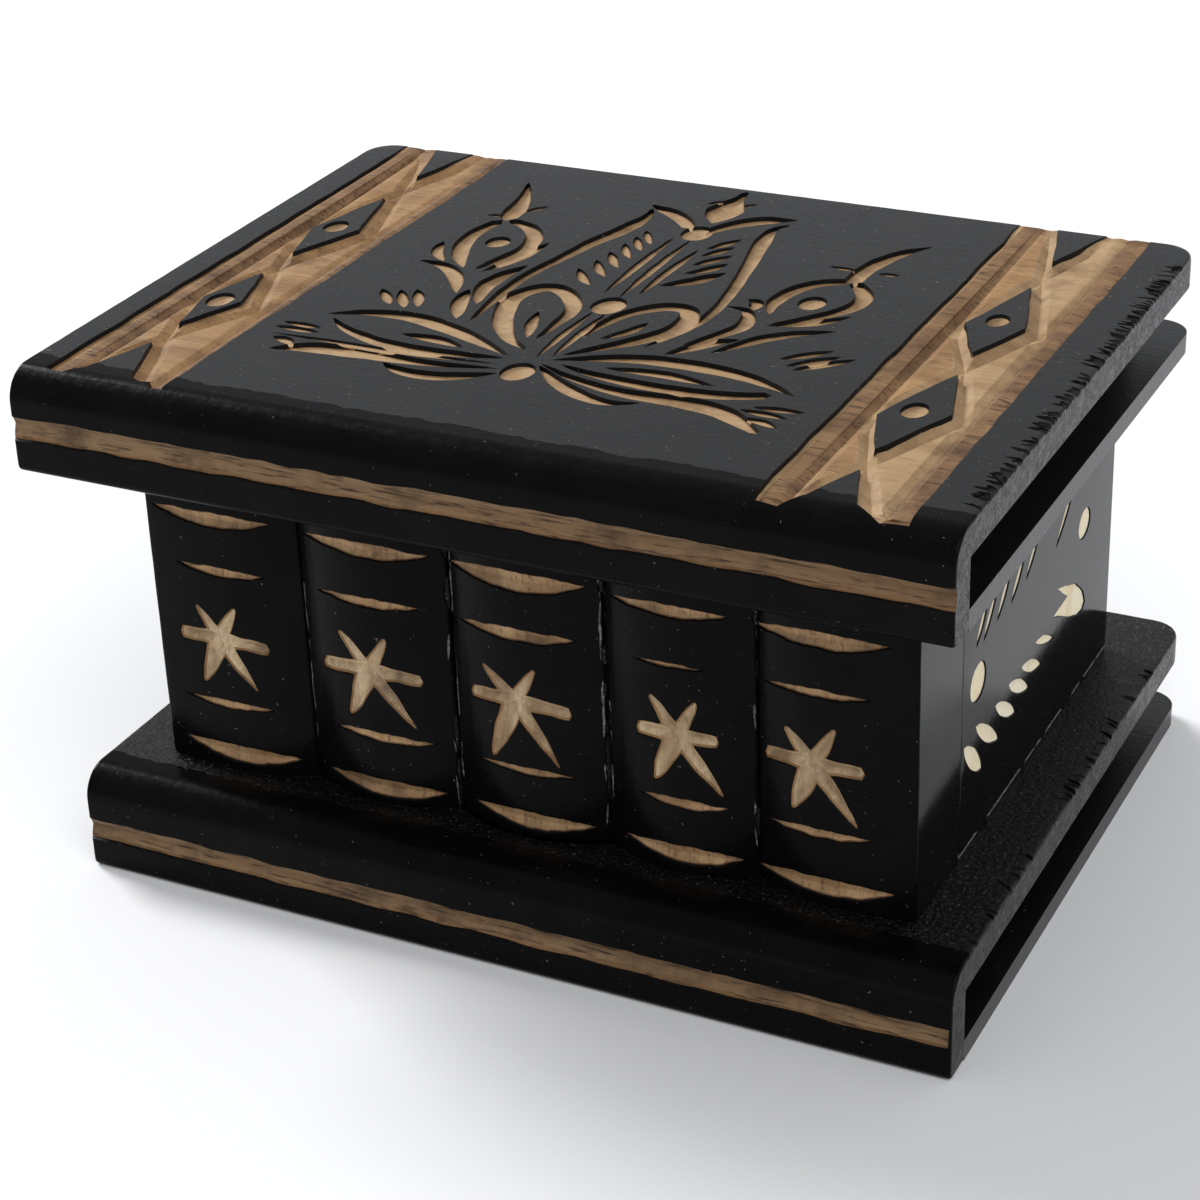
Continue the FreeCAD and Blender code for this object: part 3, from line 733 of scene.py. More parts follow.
# Each pull of the knife: (width, points). Several widths run from one end to the other.
TULIP = [
    ((1.0, 1.3, 3.4, 5.0, 3.6, 0.3),
     [(-2.2, 44), (-2.2, 40), (-2.1, 36.5), (-1.9, 33), (-1.7, 30.2)]),
    (0.9, [(-3.75, 39.3), (-5.6, 37.2)]),
    (0.9, [(1.25, 39.7), (-0.6, 37.6)]),
    ((0.4, 2.0, 2.4, 2.3, 1.7),
     [(-12.8, 34.3), (-11.9, 33.6), (-8.75, 32.1), (-6.25, 30.2), (-3.6, 27.2)]),
    ((0.4, 2.4, 2.4, 1.8, 1.6, 1.6, 1.3, 0.4),
     [(-12.2, 32.7), (-11.6, 29.6), (-12.5, 23.3), (-14.4, 17.1), (-15.6, 10.8), (-16.9, 4.6),
      (-17.4, -1.7), (-17.2, -7.9), (-16.75, -14.8)]),
    ((0.4, 2.5, 2.8, 2.3, 1.6), [(9.4, 35.5), (5, 33.95), (2.2, 31.5), (0.3, 29), (-1.0, 26.6)]),
    ((0.5, 2.2, 2.0, 1.7, 1.6, 1.4, 1.2, 0.3),
     [(9.1, 33.3), (7.5, 30.8), (8.1, 25.2), (9.4, 19), (10.6, 12.7), (11.6, 6.5), (12.2, 0.2),
      (11.9, -4.8), (10.6, -9.8), (8.75, -14.8)]),
    (1.1, [(-4.4, 23.3), (-4.5, 12), (-4.4, 0.2)]),
    (1.1, [(-1.75, 23.3), (-1.9, 11), (-1.75, -0.7)]),
    (1.2, [(0.9, 20), (0.4, 10), (0.3, 1.5)]),
    (1.0, [(-2.8, -6), (-3.0, -15), (-2.8, -23)]),
    (1.0, [(-0.9, -6), (-1.0, -14), (-0.9, -22)]),
    (1.4, [(4.9, 25.8), (3.2, 22.6), (1.75, 20.5)]),
    (1.4, [(5.3, 22.7), (3.5, 19.6), (2.2, 17.7)]),
    (1.5, [(6.25, 19.6), (4.2, 16.4), (2.5, 14)]),
    (1.7, [(7, 16.5), (4.9, 13.0), (2.8, 10.8)]),
    (2.2, [(8.1, 13.3), (5.2, 8.9), (1.4, 5.5)]),
    (1.1, [(-9.2, 24.3), (-7.6, 21.4), (-6.3, 19.6)]),
    (1.2, [(-9.5, 21.6), (-7.9, 18.7), (-6.5, 16.8)]),
    (1.2, [(-9.9, 18.6), (-8.0, 15.2), (-6.5, 13.4)]),
    (1.3, [(-10.4, 15), (-8.3, 11.6), (-6.6, 9.6)]),
    (1.3, [(-10.8, 11.4), (-8.6, 8.0), (-6.8, 6.0)]),
    (1.4, [(-11.7, 7.6), (-9.4, 4.4), (-7.3, 2.4)]),
]
TEARDROPS = [
    ((0.4, 1.6, 2.4, 2.6, 2.6, 2.5, 2.4, 2.2, 1.8, 1.2, 0.4),
     [(-5, -21), (-8.75, -18.5), (-12.5, -13.5), (-14.7, -7.9), (-15, -4.2), (-13.1, -0.7),
      (-10.6, -0.4), (-7.5, -2.9), (-5.6, -6.7), (-5.5, -11), (-5.6, -17.3)]),
    (1.5, [(-9.6, -8.6), (-8.6, -12.5), (-6.9, -17.3)]),
    ((0.4, 1.6, 2.4, 2.6, 2.6, 2.4, 2.4, 2.0, 1.4, 0.4),
     [(0, -21), (3.75, -16.7), (7.5, -12.3), (10, -7.3), (9.7, -2.3), (7.8, -0.7), (5, -1.4),
      (1.9, -4.8), (0.3, -9.8), (-0.3, -14.8)]),
    (1.5, [(5.8, -6.9), (4.6, -10.8), (2.2, -14.2)]),
]
LEFT_LEAF = [
    (2.8, [(-6.25, -23.6), (-12.5, -20.4), (-18.75, -17.9), (-25, -16.4), (-31.25, -17.3),
           (-35.9, -19.5)]),
    (2.3, [(-34.4, -20.4), (-31.25, -22.9), (-25, -25.4), (-18.75, -26), (-12.5, -25.4),
           (-6.25, -24.5)]),
    (1.9, [(-23.1, -22), (-18, -22.1), (-13.1, -23.2)]),
    (1.1, [(-39.4, -27.9), (-31.25, -27.7), (-18.75, -27.6), (-6.25, -26.4)]),
    ((0.6, 2.8, 3.2, 2.6, 1.7, 1.2, 0.4),
     [(-37, -32.6), (-32.5, -30.6), (-25, -29.7), (-15.6, -29.6), (-5.6, -27.8)]),
    (2.4, [(-20.6, -31.4), (-16.9, -32.9), (-12.5, -32.9), (-8.75, -31.5), (-5, -29.2)]),
    (1.3, [(-40, -23.9), (-34, -24.2)]),
    (1.3, [(-40.3, -25.7), (-33.4, -25.6)]),
    (1.5, [(-34.5, -30.6), (-36.6, -29.3), (-38.6, -28.9)]),
]
RIGHT_LEAF = [
    (2.8, [(-0.6, -22.9), (5, -20.1), (11.25, -18.2), (17.5, -17.9), (23.75, -18.55),
           (28.75, -20.1), (33.1, -22.3)]),
    ((0.4, 1.6, 2.1, 2.3, 2.2, 1.7),
     [(1.25, -23.7), (7.5, -25.2), (15, -25.9), (21.25, -25.7), (26.25, -24.7), (30.2, -23.0)]),
    (1.9, [(6.9, -22.6), (15, -21.9), (22.5, -22.9)]),
    ((0.3, 1.2, 1.8, 2.6, 3.2, 2.8, 1.0),
     [(-1.25, -24.3), (5, -27.2), (12.5, -28.9), (21.25, -28.9), (26.25, -29.8), (30, -31.9),
      (33.1, -34.2)]),
    (2.2, [(-1.25, -24.9), (3.75, -29.2), (8.75, -31.8), (12.5, -32.3), (16, -31)]),
    (1.4, [(29.4, -27), (36.25, -26.4)]),
    (1.3, [(28.1, -28.2), (35, -28.9)]),
    (1.3, [(29.5, -30.4), (32.2, -30.8), (34.8, -31.9)]),
]
LEFT_BUD = [
    ((0.3, 1.2, 2.2, 3.0, 2.0), [(-34.4, 36.5), (-32.8, 32.7), (-31.25, 27.7), (-30.0, 20.6)]),
    (1.0, [(-33.75, 22), (-31.25, 22.4)]),
    (1.1, [(-26.9, 28.3), (-29.1, 24.9)]),
    ((1.6, 2.0, 2.3, 2.2, 0.4),
     [(-30.6, 20.8), (-31.8, 15.2), (-31.25, 10.2), (-29.4, 5.8), (-26.9, 2.1)]),
    ((1.6, 2.1, 2.3, 2.2, 1.8, 0.4),
     [(-29.6, 21.2), (-25.6, 19.6), (-23.1, 16.5), (-22.2, 12.7), (-22.5, 9.6), (-24.1, 5.2),
      (-25, 2.1)]),
    (1.9, [(-20, 15), (-21.4, 8.2), (-23.75, 1.5)]),
    (1.6, [(-34.4, 10.2), (-33.4, 6.5), (-30.6, 3.3)]),
    (2.1, [(-34.1, 2.4), (-30.6, 2.1), (-26.9, -0.4), (-23.1, -6.7)]),
    (2.5, [(-18.75, 6.1), (-20.3, 1.45), (-20.6, -3.5), (-18.75, -9.2)]),
    (2.1, [(-22.2, -4.8), (-21.25, -9.2), (-18.75, -14.8)]),
    (1.5, [(-33.4, -8.9), (-29.7, -13.5)]),
    (1.5, [(-30.9, -8.2), (-27.2, -13.9)]),
    (1.5, [(-28.75, -7.3), (-25.6, -12.9)]),
]
RIGHT_BUD = [
    ((0.3, 1.8, 2.5, 2.4, 2.2),
     [(30.9, 32.4), (28.1, 28.95), (26.25, 24.6), (25.4, 20.2), (25.3, 15.6)]),
    (1.0, [(20.3, 20.5), (24.7, 20.2)]),
    (1.0, [(30.6, 20.5), (27.5, 20.2)]),
    ((1.8, 2.1, 2.3, 2.0, 0.4),
     [(25.2, 16.2), (21.25, 13.95), (19.1, 10.2), (18.4, 5.8), (19.4, 1.45)]),
    ((1.8, 2.2, 2.3, 2.0, 1.6, 0.4),
     [(25.6, 16.2), (28.5, 12.7), (29.1, 8.95), (27.5, 5.2), (24.4, 1.45), (20.9, -1.7)]),
    (1.8, [(14.7, 5.2), (16.2, 4.8), (16.9, 2)]),
    (2.1, [(13.1, 2.1), (16.25, 1.45), (17.8, -2.9), (16.25, -7.3), (13.1, -12.3)]),
    (2.2, [(19.4, -7.9), (16.25, -10.4), (12.2, -16)]),
    (2.1, [(30, -1), (26.25, -2.9), (21.9, -6.7), (17.5, -13.5)]),
    (1.7, [(30, 4.6), (26.2, 0.8), (20.6, -2.3)]),
    (1.5, [(32.2, -7), (26.6, -12)]),
    (1.5, [(33.75, -8.5), (28.1, -13.9)]),
    (1.5, [(35.9, -8.5), (29.4, -14.8)]),
]
CUT_WIDER = 1.18                    # the flower's pulls are this much wider than listed
CUT_SLOPE = 0.22
WIDTH_RANGE = (1.2, 2.8)            # narrow cuts are shallow, wide ones deep
DEPTH_RANGE = (0.3, 0.66)
FLOWER_SHADE_RIM = (0.34, MID_TONE_AND_SHADE)            # darker wood this near to a cut's edge, as painted shade beside the wall
BAND_DEPTH = 0.62
ZIGZAG_CREASE = (1.2, 0.75)         # half width of a crease, and how much deeper it is
BORDER_CREASE = (1.1, 0.6)
RUN_OUT = (7.0, 0.3)                # a band gets shallower over this length, down to this share
DOT_DEPTH = 0.5
BAND_DOT = (1.15, 1.6)              # size across and along, as a share of the listed radius
FLOWER_DOT = (1.08, 1.4)
FLOWER_DOTS = [(-2, 25.7, 2.1), (-1.75, -3.4, 2.2), (-2.8, -27.8, 2.1), (-27, 12.7, 1.6),
               (23.25, 7.1, 1.8)]


def on_lid(points):
    """Sheet coordinates of points read off the lid's top."""
    return np.array([LID.top(x, y) for x, y in points])


def band_cuts(band, seed):
    """A band: sunk wood with V creases, round black diamonds that each have a dot."""
    creases = [(wobble(densify_line(on_lid(line)), 0.25, 6, seed), *ZIGZAG_CREASE)
               for line in band["zigzags"]]
    creases += [(wobble(on_lid(line), 0.2, 9, seed), *BORDER_CREASE)
                for line in band["borders"]]
    outline = wobble(densify(on_lid(band["outline"]), 2.2), 0.3, 5, seed)
    diamonds = [wobble(densify(on_lid(loop), 2.2), 0.25, 4, seed) for loop in band["diamonds"]]
    # painted shade: darker wood in the band's shaded and brown zones
    zones = [(on_lid(loop), MID_TONE_AND_SHADE) for loop in band["shaded"]]
    zones += [(on_lid(loop), SHADE_BROWN) for loop in band["brown"]]
    cuts = [Cut([outline] + diamonds, BAND_DEPTH, 0.02, band["floor"], creases=creases,
                zones=zones, run_out=(LID.top_end, *RUN_OUT))]
    across, along = BAND_DOT
    for x, y, radius in band["dots"]:
        cuts.append(dot_cut(LID.top(x, y), radius * across, radius * along, DOT_DEPTH, 0.25))
    return cuts


def flower_cuts():
    """The flower in the middle: every listed pull of the knife, then the dots."""
    cuts = []
    for width, points in TULIP + TEARDROPS + LEFT_LEAF + RIGHT_LEAF + LEFT_BUD + RIGHT_BUD:
        widths = np.multiply(width, CUT_WIDER)
        depth = np.interp(np.max(widths), WIDTH_RANGE, DEPTH_RANGE)
        cuts.append(knife_cut(on_lid(points), widths, depth, CUT_SLOPE, rim=FLOWER_SHADE_RIM))
    across, along = FLOWER_DOT
    for x, y, radius in FLOWER_DOTS:
        cuts.append(dot_cut(LID.top(x, y), radius * across, radius * along, DOT_DEPTH, 0.2))
    return cuts


def groove_cut(cover, seed):
    """The gouged groove along a spine, running out at both ends."""
    centre = cover.on_front(cover.groove_z)
    x = np.arange(-cover.half - 1.5, cover.half + 1.6, 2.0)
    upper = np.column_stack([x, np.full_like(x, centre + GROOVE_W / 2)])
    lower = np.column_stack([x, np.full_like(x, centre - GROOVE_W / 2)])
    outline = np.vstack([wobble(upper, 0.35, 4, seed), wobble(lower, 0.35, 4, seed)[::-1]])
    deepest = np.column_stack([x, np.full_like(x, centre + 0.3)])
    # painted shade: darker brown wood over the lower part of the groove
    shade = np.array([(-70, centre - GROOVE_W), (70, centre - GROOVE_W), (70, centre - 1.05),
                      (-70, centre - 1.05)])
    return Cut([outline], 0.45, 0.1, GROOVE, creases=[(deepest, 1.2, 0.35)],
               zones=[(wobble(densify(shade, 2), 0.4, 3, seed), SHADE_BROWN)])


def edge_chips(cover, seed, count=150):
    """Narrow chips out of the lacquer along the right-hand top edge, side by side like teeth."""
    rng = random.Random(seed)
    cuts = []
    for _ in range(count):
        y = rng.uniform(cover.front + 8, cover.back - 8)
        x, s = cover.top(cover.half - rng.uniform(0.1, 0.9), y)
        loop = ellipse((x, s), rng.uniform(0.7, 2.2), rng.uniform(0.2, 0.45),
                       rng.uniform(-35, 10), 8)
        cuts.append(Cut([loop], rng.uniform(0.15, 0.35), 0.1, DULL_BLACK_AND_SHADE, wall=0.08))
    return cuts


def cover_domain(cover):
    """Outline of a cover's sheet, with round corners at the back."""
    half, end = cover.half, cover.top_end
    steps = np.radians(np.arange(0, 91, 15))
    right = [(half - CORNER_R * (1 - math.cos(a)), end - CORNER_R * (1 - math.sin(a)))
             for a in steps]
    left = [(-x, s) for x, s in reversed(right)]
    rows = cover_rows(cover)
    up = [(half, s) for s in rows]
    down = [(-half, s) for s in reversed(rows)]
    return densify(np.array(up + right + left + down, float), 1.6)


def cover_rows(cover):
    """Distances up the sheet of the lines that shape the rounded front edges."""
    low = np.linspace(0, cover.face_start, 5)
    high = np.linspace(cover.face_end, cover.top_start, 13)
    return list(low) + list(high)


def close_cover(cover):
    """Shuts the back of a cover's sheet: inner face of the spine and underside of the board."""
    def inner(point):
        """Where a rim point drops to: the back of the spine, or the underside of the board."""
        x, y, z = point
        if y >= cover.spine_back:
            return x, y, cover.board_low
        if z < cover.low + TOUCH:
            return x, cover.spine_back, cover.low
        above = y >= cover.front + EDGE_R or z >= cover.board_low
        return x, cover.spine_back, cover.board_low if above else z

    def is_under(vert):
        return vert.co.z > cover.board_low - TOUCH

    def close(bm, rings):
        undersides = []
        for ring in rings:
            below = distinct(drop_skirt(bm, ring, [inner(v.co) for v in ring]))
            if all(is_under(v) for v in below):
                undersides.append(below)
                continue
            turn = next(i for i, v in enumerate(below)
                        if not is_under(v) and is_under(below[i - 1]))
            below = below[turn:] + below[:turn]
            upper = [v for v in below if is_under(v)]
            lower = [v for v in below if not is_under(v)]
            undersides.insert(0, upper)
            bm.faces.new(lower + [upper[0], upper[-1]])
        fill(bm, undersides)
    return close


def cover_piece(name, cover, cuts, body, replaced, top_lacquer, holes=()):
    """Spine strip and top board of a lying book, as one sheet. The foot isn't worn."""
    half = cover.half
    domain = cover_domain(cover)
    roll_loop = domain.copy()
    roll_loop[roll_loop[:, 1] < TOUCH, 1] = BELOW_SHEET
    rows = [(np.array([(-half, s), (half, s)]), False) for s in cover_rows(cover)[1:]]
    level = cover.top_start + DULL_FRONT
    ragged = densify_line(np.array([(-half, level), (half, level)]), 0.5)
    ragged[:, 1] = wobble(wobble(ragged, 0.5, 1.1), 0.7, 6.0, 3.0)[:, 1]
    rows.append((ragged, False))

    def uncut(points):
        edge = np.interp(points[:, 0], ragged[:, 0], ragged[:, 1])
        return np.where(points[:, 1] < edge, FRONT_BLACK, top_lacquer)
    piece = carved_piece(name, domain, rows, cuts, cover.place, close_cover(cover), uncut,
                         holes, roll_loop=roll_loop)
    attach(piece, body)
    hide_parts(*replaced)
    return piece


def slide_channel():
    """Outline of the channel that book 3 sinks into, as cut through the base."""
    x0, x1 = BOOK_EDGES[2:4]
    front = [(x, book_y(x, x0, x1, VALLEY_Y, VALLEY_Y) - SLIDE_GAP)
             for x in np.linspace(x0, x1, 17)]
    outline = front + [(x1 + FLARE, FLARE_Y), (x0 - FLARE, FLARE_Y)]
    return densify(np.array([BASE.top(x, y) for x, y in outline]), 2.0)


# ---- the five standing books ----

PATTERN_Y = -38.7                   # flat plane on which the books' patterns were measured
SIGHT_X = math.tan(CAMERA_TURN)     # how far a line of sight moves in x and z per mm in y
SIGHT_Z = math.tan(CAMERA_RISE) / math.cos(CAMERA_TURN)


def book_y(x, x0, x1, y0, y1):
    """How far forward the front of a book stands at x."""
    t = (x - x0) / (x1 - x0) * 2 - 1
    edge = np.where(t < 0, y0, y1)
    return CROWN_Y + (edge - CROWN_Y) * t ** 2


def lens(left, right, upper, lower, seed):
    """A scooped cut across a book spine: straight above, bulging below."""
    t = np.linspace(0, 1, 31)
    x = left + (right - left) * t
    curve = np.sin(math.pi * t) ** 0.8
    top = upper + 0.15 * curve
    bottom = upper - (upper - lower) * curve
    outline = np.column_stack([np.concatenate([x, x[-2:0:-1]]),
                               np.concatenate([top, bottom[-2:0:-1]])])
    middle = np.column_stack([x, (top + bottom) / 2])[1:-1]
    outline = wobble(outline, 0.12, 0.7, seed)
    return wobble(outline, 0.18, 2.0, seed), wobble(middle, 0.18, 2.0, seed)


def star_arm(centre, tip, root, end):
    """Points and widths of one arm of a star: broad near the root, ending blunt or fine."""
    centre, tip = np.array(centre, float), np.array(tip, float)
    points = [centre + (tip - centre) * part for part in (-0.06, 0.35, 0.7, 1.0)]
    return points, (root * 0.6, root, root * 0.85, (root + end) / 2, end)


# Each book: two lenses above and two below (left, right, upper z, lower z), star centre and
# its six tips: left, right, upper left, upper right, lower left, lower right.
BOOKS = {
    "book_1": ([(-54.5, -35.5, 54.8, 52.5), (-51.5, -37, 46.6, 45.2),
                (-52.3, -37, 25.9, 24.7), (-53.5, -33.8, 19, 16.3)],
               (-45.5, 35.6), [(-52, 35.5), (-37.5, 35.3), (-49, 40.5), (-42.5, 41),
                               (-48.8, 28), (-40, 28.2)]),
    "book_2": ([(-31, -11.3, 54.7, 52.4), (-29.3, -13, 46.6, 45.1),
                (-28.3, -12, 26.2, 24.7), (-30, -10.9, 18.9, 16.2)],
               (-22, 35.7), [(-29.3, 35.6), (-13.6, 35.5), (-26.3, 41), (-19, 41),
                             (-25.3, 28), (-15, 27.7)]),
    "book_3": ([(-9, 11.5, 54.8, 51.8), (-7.8, 9.7, 46.5, 44.6),
                (-6.2, 8.8, 25.9, 24.7), (-7.3, 11.5, 19, 16.4)],
               (0, 35.8), [(-6.6, 36), (8.6, 35.3), (-4.6, 40.5), (3.2, 41),
                           (-3.7, 26.4), (6.6, 26.5)]),
    "book_4": ([(14.3, 31, 54.3, 52.5), (17.3, 28, 46, 45.3),
                (17.8, 31, 26.3, 24.8), (15.3, 33, 19.2, 16.6)],
               (23.3, 35.7), [(17.5, 35.8), (29.3, 35.8), (19.5, 41.2), (26.2, 41.2),
                              (20, 28.3), (30, 27.7)]),
    "book_5": ([(33.9, 52.5, 54.5, 52.2), (35.5, 50, 46.5, 45.3),
                (35.5, 50.5, 26.4, 25), (34.5, 53.7, 19.2, 16.6)],
               (42, 35.8), [(35.7, 36.2), (49, 35.8), (38.2, 40.5), (45, 41.5),
                            (39.3, 28.5), (48.3, 27.5)]),
}
LENS_DEPTH, LENS_SLOPE = 0.34, 0.3
STAR_DEPTH, STAR_SLOPE = 0.24, 0.95
# darker wood along the edges of lenses and stars: painted shade beside the walls, on the stars
# partly lacquer stain
LENS_SHADE_RIM = (0.3, SHADE_BROWN)
STAR_STAIN_AND_SHADE_RIM = (0.36, MID_TONE_AND_SHADE)
SEAMED = ("book_2", "book_3", "book_4")     # books with chipped edges
# Width of each star arm at its root and at its end
ARM_SIZES = [(2.7, 1.9), (2.7, 1.9), (2.3, 0.7), (2.4, 0.7), (3.4, 0.6), (2.6, 0.35)]


def onto_book(outline, front_y):
    """Slides an outline from the flat pattern plane onto the curved spine, along the sight line."""
    slid = outline.copy()
    for _ in range(4):
        behind = front_y(slid[:, 0]) - PATTERN_Y
        slid[:, 0] = outline[:, 0] - SIGHT_X * behind
        slid[:, 1] = outline[:, 1] - SIGHT_Z * behind
    return slid


def book_cuts(lenses, centre, tips, front_y, seed):
    """The four lenses and the star of one book."""
    def fit(shape):
        return onto_book(shape, front_y)

    cuts = []
    for numbers in lenses:
        outline, middle = lens(*numbers, seed)
        cuts.append(Cut([fit(outline)], LENS_DEPTH, LENS_SLOPE, LENS, spines=[fit(middle)],
                        rim=LENS_SHADE_RIM))
    for tip, (root, end) in zip(tips, ARM_SIZES):
        points, widths = star_arm(centre, tip, root, end)
        cuts.append(knife_cut(points, widths, STAR_DEPTH, STAR_SLOPE, STAR, fit, 0.2, seed,
                              STAR_STAIN_AND_SHADE_RIM))
    return cuts


def seam_chips(edges, heights, seed, count=30):
    """Long narrow chips, and dull grey lines that are partly worn lacquer and partly painted
    glints, down both edges of a book.
    """
    rng = random.Random(seed)
    cuts = []
    for number in range(count):
        x = rng.choice(edges)
        z = rng.uniform(heights[0] + 2, heights[1] - 2)
        # every second mark is a pale line: worn lacquer and painted glint
        pale_glint = number % 2 == 0
        inward = 0.4 if x == edges[0] else -0.4
        across = rng.uniform(0.12, 0.24) if pale_glint else rng.uniform(0.25, 0.6)
        loop = ellipse((x + (inward if pale_glint else 0), z), across, rng.uniform(0.8, 2.6),
                       rng.uniform(-5, 5), 10)
        cuts.append(Cut([loop], 0.05 if pale_glint else 0.25, 0.1, WORN_AND_GLINT if pale_glint else ROUGH_BLACK,
                        wall=0.05))
    return cuts


def all_front(points):
    """The lacquer of the books' fronts, everywhere."""
    return np.full(len(points), FRONT_BLACK)


def book_piece(name, seed):
    """One standing book. Book 3 slides, with a gap all round, and widens towards its back."""
    lenses, centre, tips = BOOKS[name]
    order = list(BOOKS).index(name)
    left, right = BOOK_EDGES[order:order + 2]
    sliding = name == "book_3"
    gap = SLIDE_GAP if sliding else 0.0
    x0, x1 = left + gap, right - gap
    z0, z1 = (BODY_Z[0] + gap, BODY_Z[1] - gap) if sliding else BODY_Z
    y0 = OUTER_Y if name == "book_1" else VALLEY_Y
    y1 = OUTER_Y if name == "book_5" else VALLEY_Y
    flare_left = FLARE if name == "book_4" else -FLARE if sliding else 0.0
    flare_right = -FLARE if name == "book_2" else FLARE if sliding else 0.0

    def front_y(x):
        return book_y(x, x0, x1, y0, y1)

    def place(uv, depth):
        return np.column_stack([uv[:, 0], front_y(uv[:, 0]) + depth, uv[:, 1]])

    def close(bm, rings):
        def at_back(v, y):
            t = (v.co.x - x0) / (x1 - x0)
            return (v.co.x + flare_left * (1 - t) + flare_right * t, y, v.co.z)
        back = FLARE_Y - (gap if sliding else 0.0)
        below = drop_skirt(bm, rings[0], [at_back(v, back) for v in rings[0]])
        if not sliding:
            below = drop_skirt(bm, below, [(v.co.x, FRONT_BACK_Y, v.co.z) for v in below])
        fill(bm, [below], BLACK if sliding else INNER)
        for face in bm.faces:
            if all(abs(v.co.x) > BODY_HALF - 0.01 for v in face.verts):
                face.material_index = SIDE_BLACK

    domain = densify(np.array([(x0, z0), (x1, z0), (x1, z1), (x0, z1)], float), 1.5)
    rows = [(np.array([(x, z0), (x, z1)]), False) for x in np.linspace(x0, x1, 15)[1:-1]]
    cuts = book_cuts(lenses, centre, tips, front_y, seed)
    if name in SEAMED:
        cuts += seam_chips((x0, x1), (z0, z1), seed, 60 if sliding else 24)
    piece = carved_piece(name + "_carved", domain, rows, cuts, place, close, all_front)
    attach(piece, "sliding_book" if sliding else "box")
    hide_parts(name)
    return piece


# ---- the side panels ----

SIDE_STROKES = [
    (2.9, [(-21.3, 31.7), (-13.5, 24.5)]),
    (2.5, [(-16.8, 32.5), (-7, 25.4)]),
    (2.3, [(-9.2, 31.6), (-0.3, 26)]),
    (2.2, [(-3.8, 32), (5.2, 27)]),
    (2.0, [(1.5, 32), (10.3, 28)]),
    (1.5, [(7.2, 33), (15.5, 29.6)]),
    (1.7, [(-17.5, 44.4), (-12.9, 49.6)]),
    (1.7, [(-14.7, 43.8), (-9.5, 49.4)]),
    (1.7, [(-9.5, 44.3), (-4.3, 49.5)]),
    (1.7, [(-4, 44.1), (1.6, 49.4)]),
    (1.6, [(2, 44.8), (7.2, 49.8)]),
    (1.6, [(14.5, 43.6), (22.3, 50.2)]),
]
MARK_DEPTH = 0.22
FOOT_GLINT_LINE = 0.72                    # the foot of a side gets a painted glint line up to here
SIDE_DOTS = [(-16.2, 38.9, 3.1, 2.8), (27.6, 41.6, 2.7, 2.3)]
SIDE_CRESCENT = [(16.2, 36.8), (20, 35.5), (25, 33.5), (28.5, 30.5), (29.5, 28.5), (28.5, 27.6),
                 (26, 27.8), (22, 29.5), (18, 31.5), (14.3, 33.2), (20.8, 33.4)]


def side_lacquer(points):
    """Glossy lacquer, with a broken pale line along the foot of the panel, painted as a glint."""
    low = points[:, 1] < BODY_Z[0] + FOOT_GLINT_LINE
    pale_glint = [noise.noise(Vector((y / 3, 0.5, 0.5))) > -0.2 for y in points[:, 0]]
    return np.where(low & pale_glint, FOOT_GLINT, SIDE_BLACK)


def side_piece(side, seed):
    """Side panel: its outer face carries the cream marks."""
    name = "side_right" if side > 0 else "side_left"
    y0, y1 = FRONT_BACK_Y, BODY_BACK
    z0, z1 = BODY_Z

    def place(uv, depth):
        return np.column_stack([side * (BODY_HALF - depth), uv[:, 0], uv[:, 1]])

    def close(bm, rings):
        inner = side * (BODY_HALF - PANEL_T)
        below = drop_skirt(bm, rings[0], [(inner, v.co.y, v.co.z) for v in rings[0]])
        fill(bm, [below], INNER)

    cuts = [knife_cut(points, width, MARK_DEPTH, 0.2, CREAM, seed=seed)
            for width, points in SIDE_STROKES]
    cuts += [dot_cut((y, z), a, b, MARK_DEPTH, 0.12, CREAM, seed) for y, z, a, b in SIDE_DOTS]
    crescent = wobble(densify(np.array(SIDE_CRESCENT), 1.2), 0.15, 2, seed)
    cuts.append(Cut([crescent], MARK_DEPTH, 0.1, CREAM))
    domain = densify(np.array([(y0, z0), (y1, z0), (y1, z1), (y0, z1)], float), 1.5)
    foot = densify_line(np.array([(y0 + 0.5, z0 + FOOT_GLINT_LINE), (y1 - 0.5, z0 + FOOT_GLINT_LINE)]), 1.5)
    piece = carved_piece(name + "_carved", domain, [(foot, False)], cuts, place, close,
                         side_lacquer, roll=SIDE_ROLL)
    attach(piece, "box")
    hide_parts(name)
    return piece


# ---- CAD nodes that are kept ----

OUTSIDE = ["lid_lower_board", "lid_pages_left", "lid_pages_right", "base_lower_board",
           "base_pages_front_left", "base_pages_front_right", "base_pages_left",
           "base_pages_back_inner", "base_pages_back_right", "drawer_tray", "latch_slider",
           "back_panel"]
BARE = ["base_pages_front_middle", "lock_board", "floor_panel"]
REPLACED = ["lid_spine", "lid_top_board", "base_spine", "base_top_board", "side_left",
            "side_right"] + list(BOOKS)
BRASS_PARTS = [row["node"] for row in frame["record"]["subparts"]
               if row["material_slot"] == "brass"]
WOOD_EDGE = 0.35                    # edge rounding of the plain wooden parts
METAL_EDGE = 0.08
BEVEL_ANGLE = 35                    # degrees between faces from which an edge is rounded


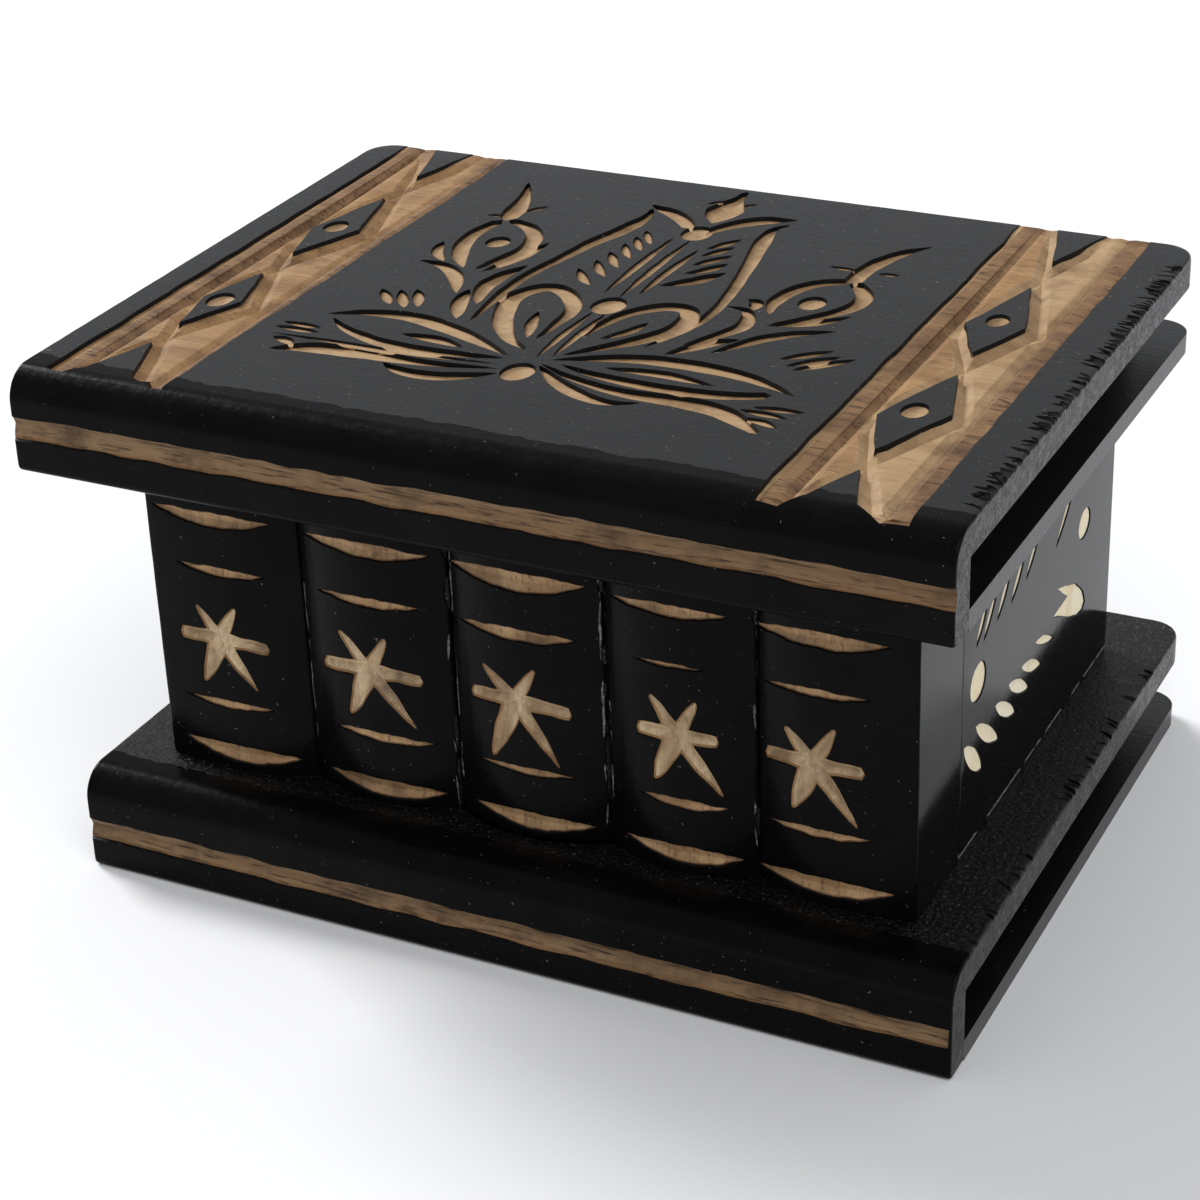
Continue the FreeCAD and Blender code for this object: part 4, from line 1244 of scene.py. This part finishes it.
def dress_kept_nodes():
    """Materials and softened edges for the CAD nodes that no carved piece replaces."""
    for name, node in frame["nodes"].items():
        if name in REPLACED:
            continue
        if name in OUTSIDE:
            material = BODY_LACQUER
        elif name in BARE:
            material = BARE_WOOD
        else:
            material = BRASS if name in BRASS_PARTS else STEEL
        node.data.materials.clear()
        node.data.materials.append(material)
        bevel = node.modifiers.new("soft edges", "BEVEL")
        bevel.width = (WOOD_EDGE if name in OUTSIDE + BARE else METAL_EDGE) * MM
        bevel.segments = 3
        bevel.limit_method = "ANGLE"
        bevel.angle_limit = math.radians(BEVEL_ANGLE)
        bevel.harden_normals = True


# ---- camera, light and floor ----

CAMERA_AT = (162.52, -329.96, 223.86)
CAMERA_ROLL = -0.0402
CAMERA_LENS = 87.94
AIM = (0, 0, 0.03)                  # metres; the lights face this point


def add_camera():
    """The camera at its place, set by its turn, rise and roll."""
    back = Vector((math.sin(CAMERA_TURN) * math.cos(CAMERA_RISE),
                   -math.cos(CAMERA_TURN) * math.cos(CAMERA_RISE), math.sin(CAMERA_RISE)))
    right = (-back).cross(Vector((0, 0, 1))).normalized()
    up = right.cross(-back)
    cosine, sine = math.cos(CAMERA_ROLL), math.sin(CAMERA_ROLL)
    right, up = right * cosine + up * sine, up * cosine - right * sine
    data = bpy.data.cameras.new("camera")
    data.lens, data.sensor_width = CAMERA_LENS, 36
    data.clip_start, data.clip_end = 0.01, 20
    camera = bpy.data.objects.new("camera", data)
    turn = Matrix((right, up, back)).transposed().to_4x4()
    camera.matrix_world = Matrix.Translation(Vector(CAMERA_AT) * MM) @ turn
    bpy.context.scene.collection.objects.link(camera)
    bpy.context.scene.camera = camera


def add_light(name, at, size, power):
    """A square soft light that faces the box."""
    data = bpy.data.lights.new(name, "AREA")
    data.shape, data.size = "SQUARE", size
    data.energy = power
    light = bpy.data.objects.new(name, data)
    light.location = at
    away = Vector(at) - Vector(AIM)
    light.rotation_euler = away.to_track_quat("Z", "Y").to_euler()
    bpy.context.scene.collection.objects.link(light)


def add_surroundings():
    """Pale sky and floor, and two soft lights."""
    world = bpy.data.worlds.new("studio")
    world.use_nodes = True
    sky = world.node_tree.nodes["Background"]
    sky.inputs["Color"].default_value = (0.95, 0.97, 1.0, 1.0)
    sky.inputs["Strength"].default_value = 0.52
    bpy.context.scene.world = world
    bpy.context.scene.view_settings.view_transform = "Standard"
    add_light("key_left", (-2.3, 0.8, 1.9), 1.0, 84)
    add_light("fill_front_right", (0.65, -0.75, 1.25), 1.0, 8)
    bpy.ops.mesh.primitive_plane_add(size=8)
    floor = bpy.context.object
    floor.name = "floor"
    n = Nodes("pale_floor")
    n.set(Base_Color=n.mix(n.noise(6, 3), rgb(240, 240, 241), rgb(236, 236, 237)),
          Roughness=0.9, Specular_IOR_Level=0.1)
    floor.data.materials.append(n.material)


# ---- build ----

cover_piece("lid_cover", LID,
            band_cuts(LEFT_BAND, 2.0) + band_cuts(RIGHT_BAND, 5.0) + flower_cuts()
            + [groove_cut(LID, 11.0)] + edge_chips(LID, 4),
            "lid", ["lid_spine", "lid_top_board"], BLACK)
cover_piece("base_cover", BASE, [groove_cut(BASE, 17.0)] + edge_chips(BASE, 9, 30),
            "box", ["base_spine", "base_top_board"], ROUGH_BLACK, holes=[slide_channel()])
for order, book in enumerate(BOOKS):
    book_piece(book, 3.0 * order + 1)
side_piece(1, 31.0)
side_piece(-1, 37.0)
dress_kept_nodes()
add_camera()
add_surroundings()
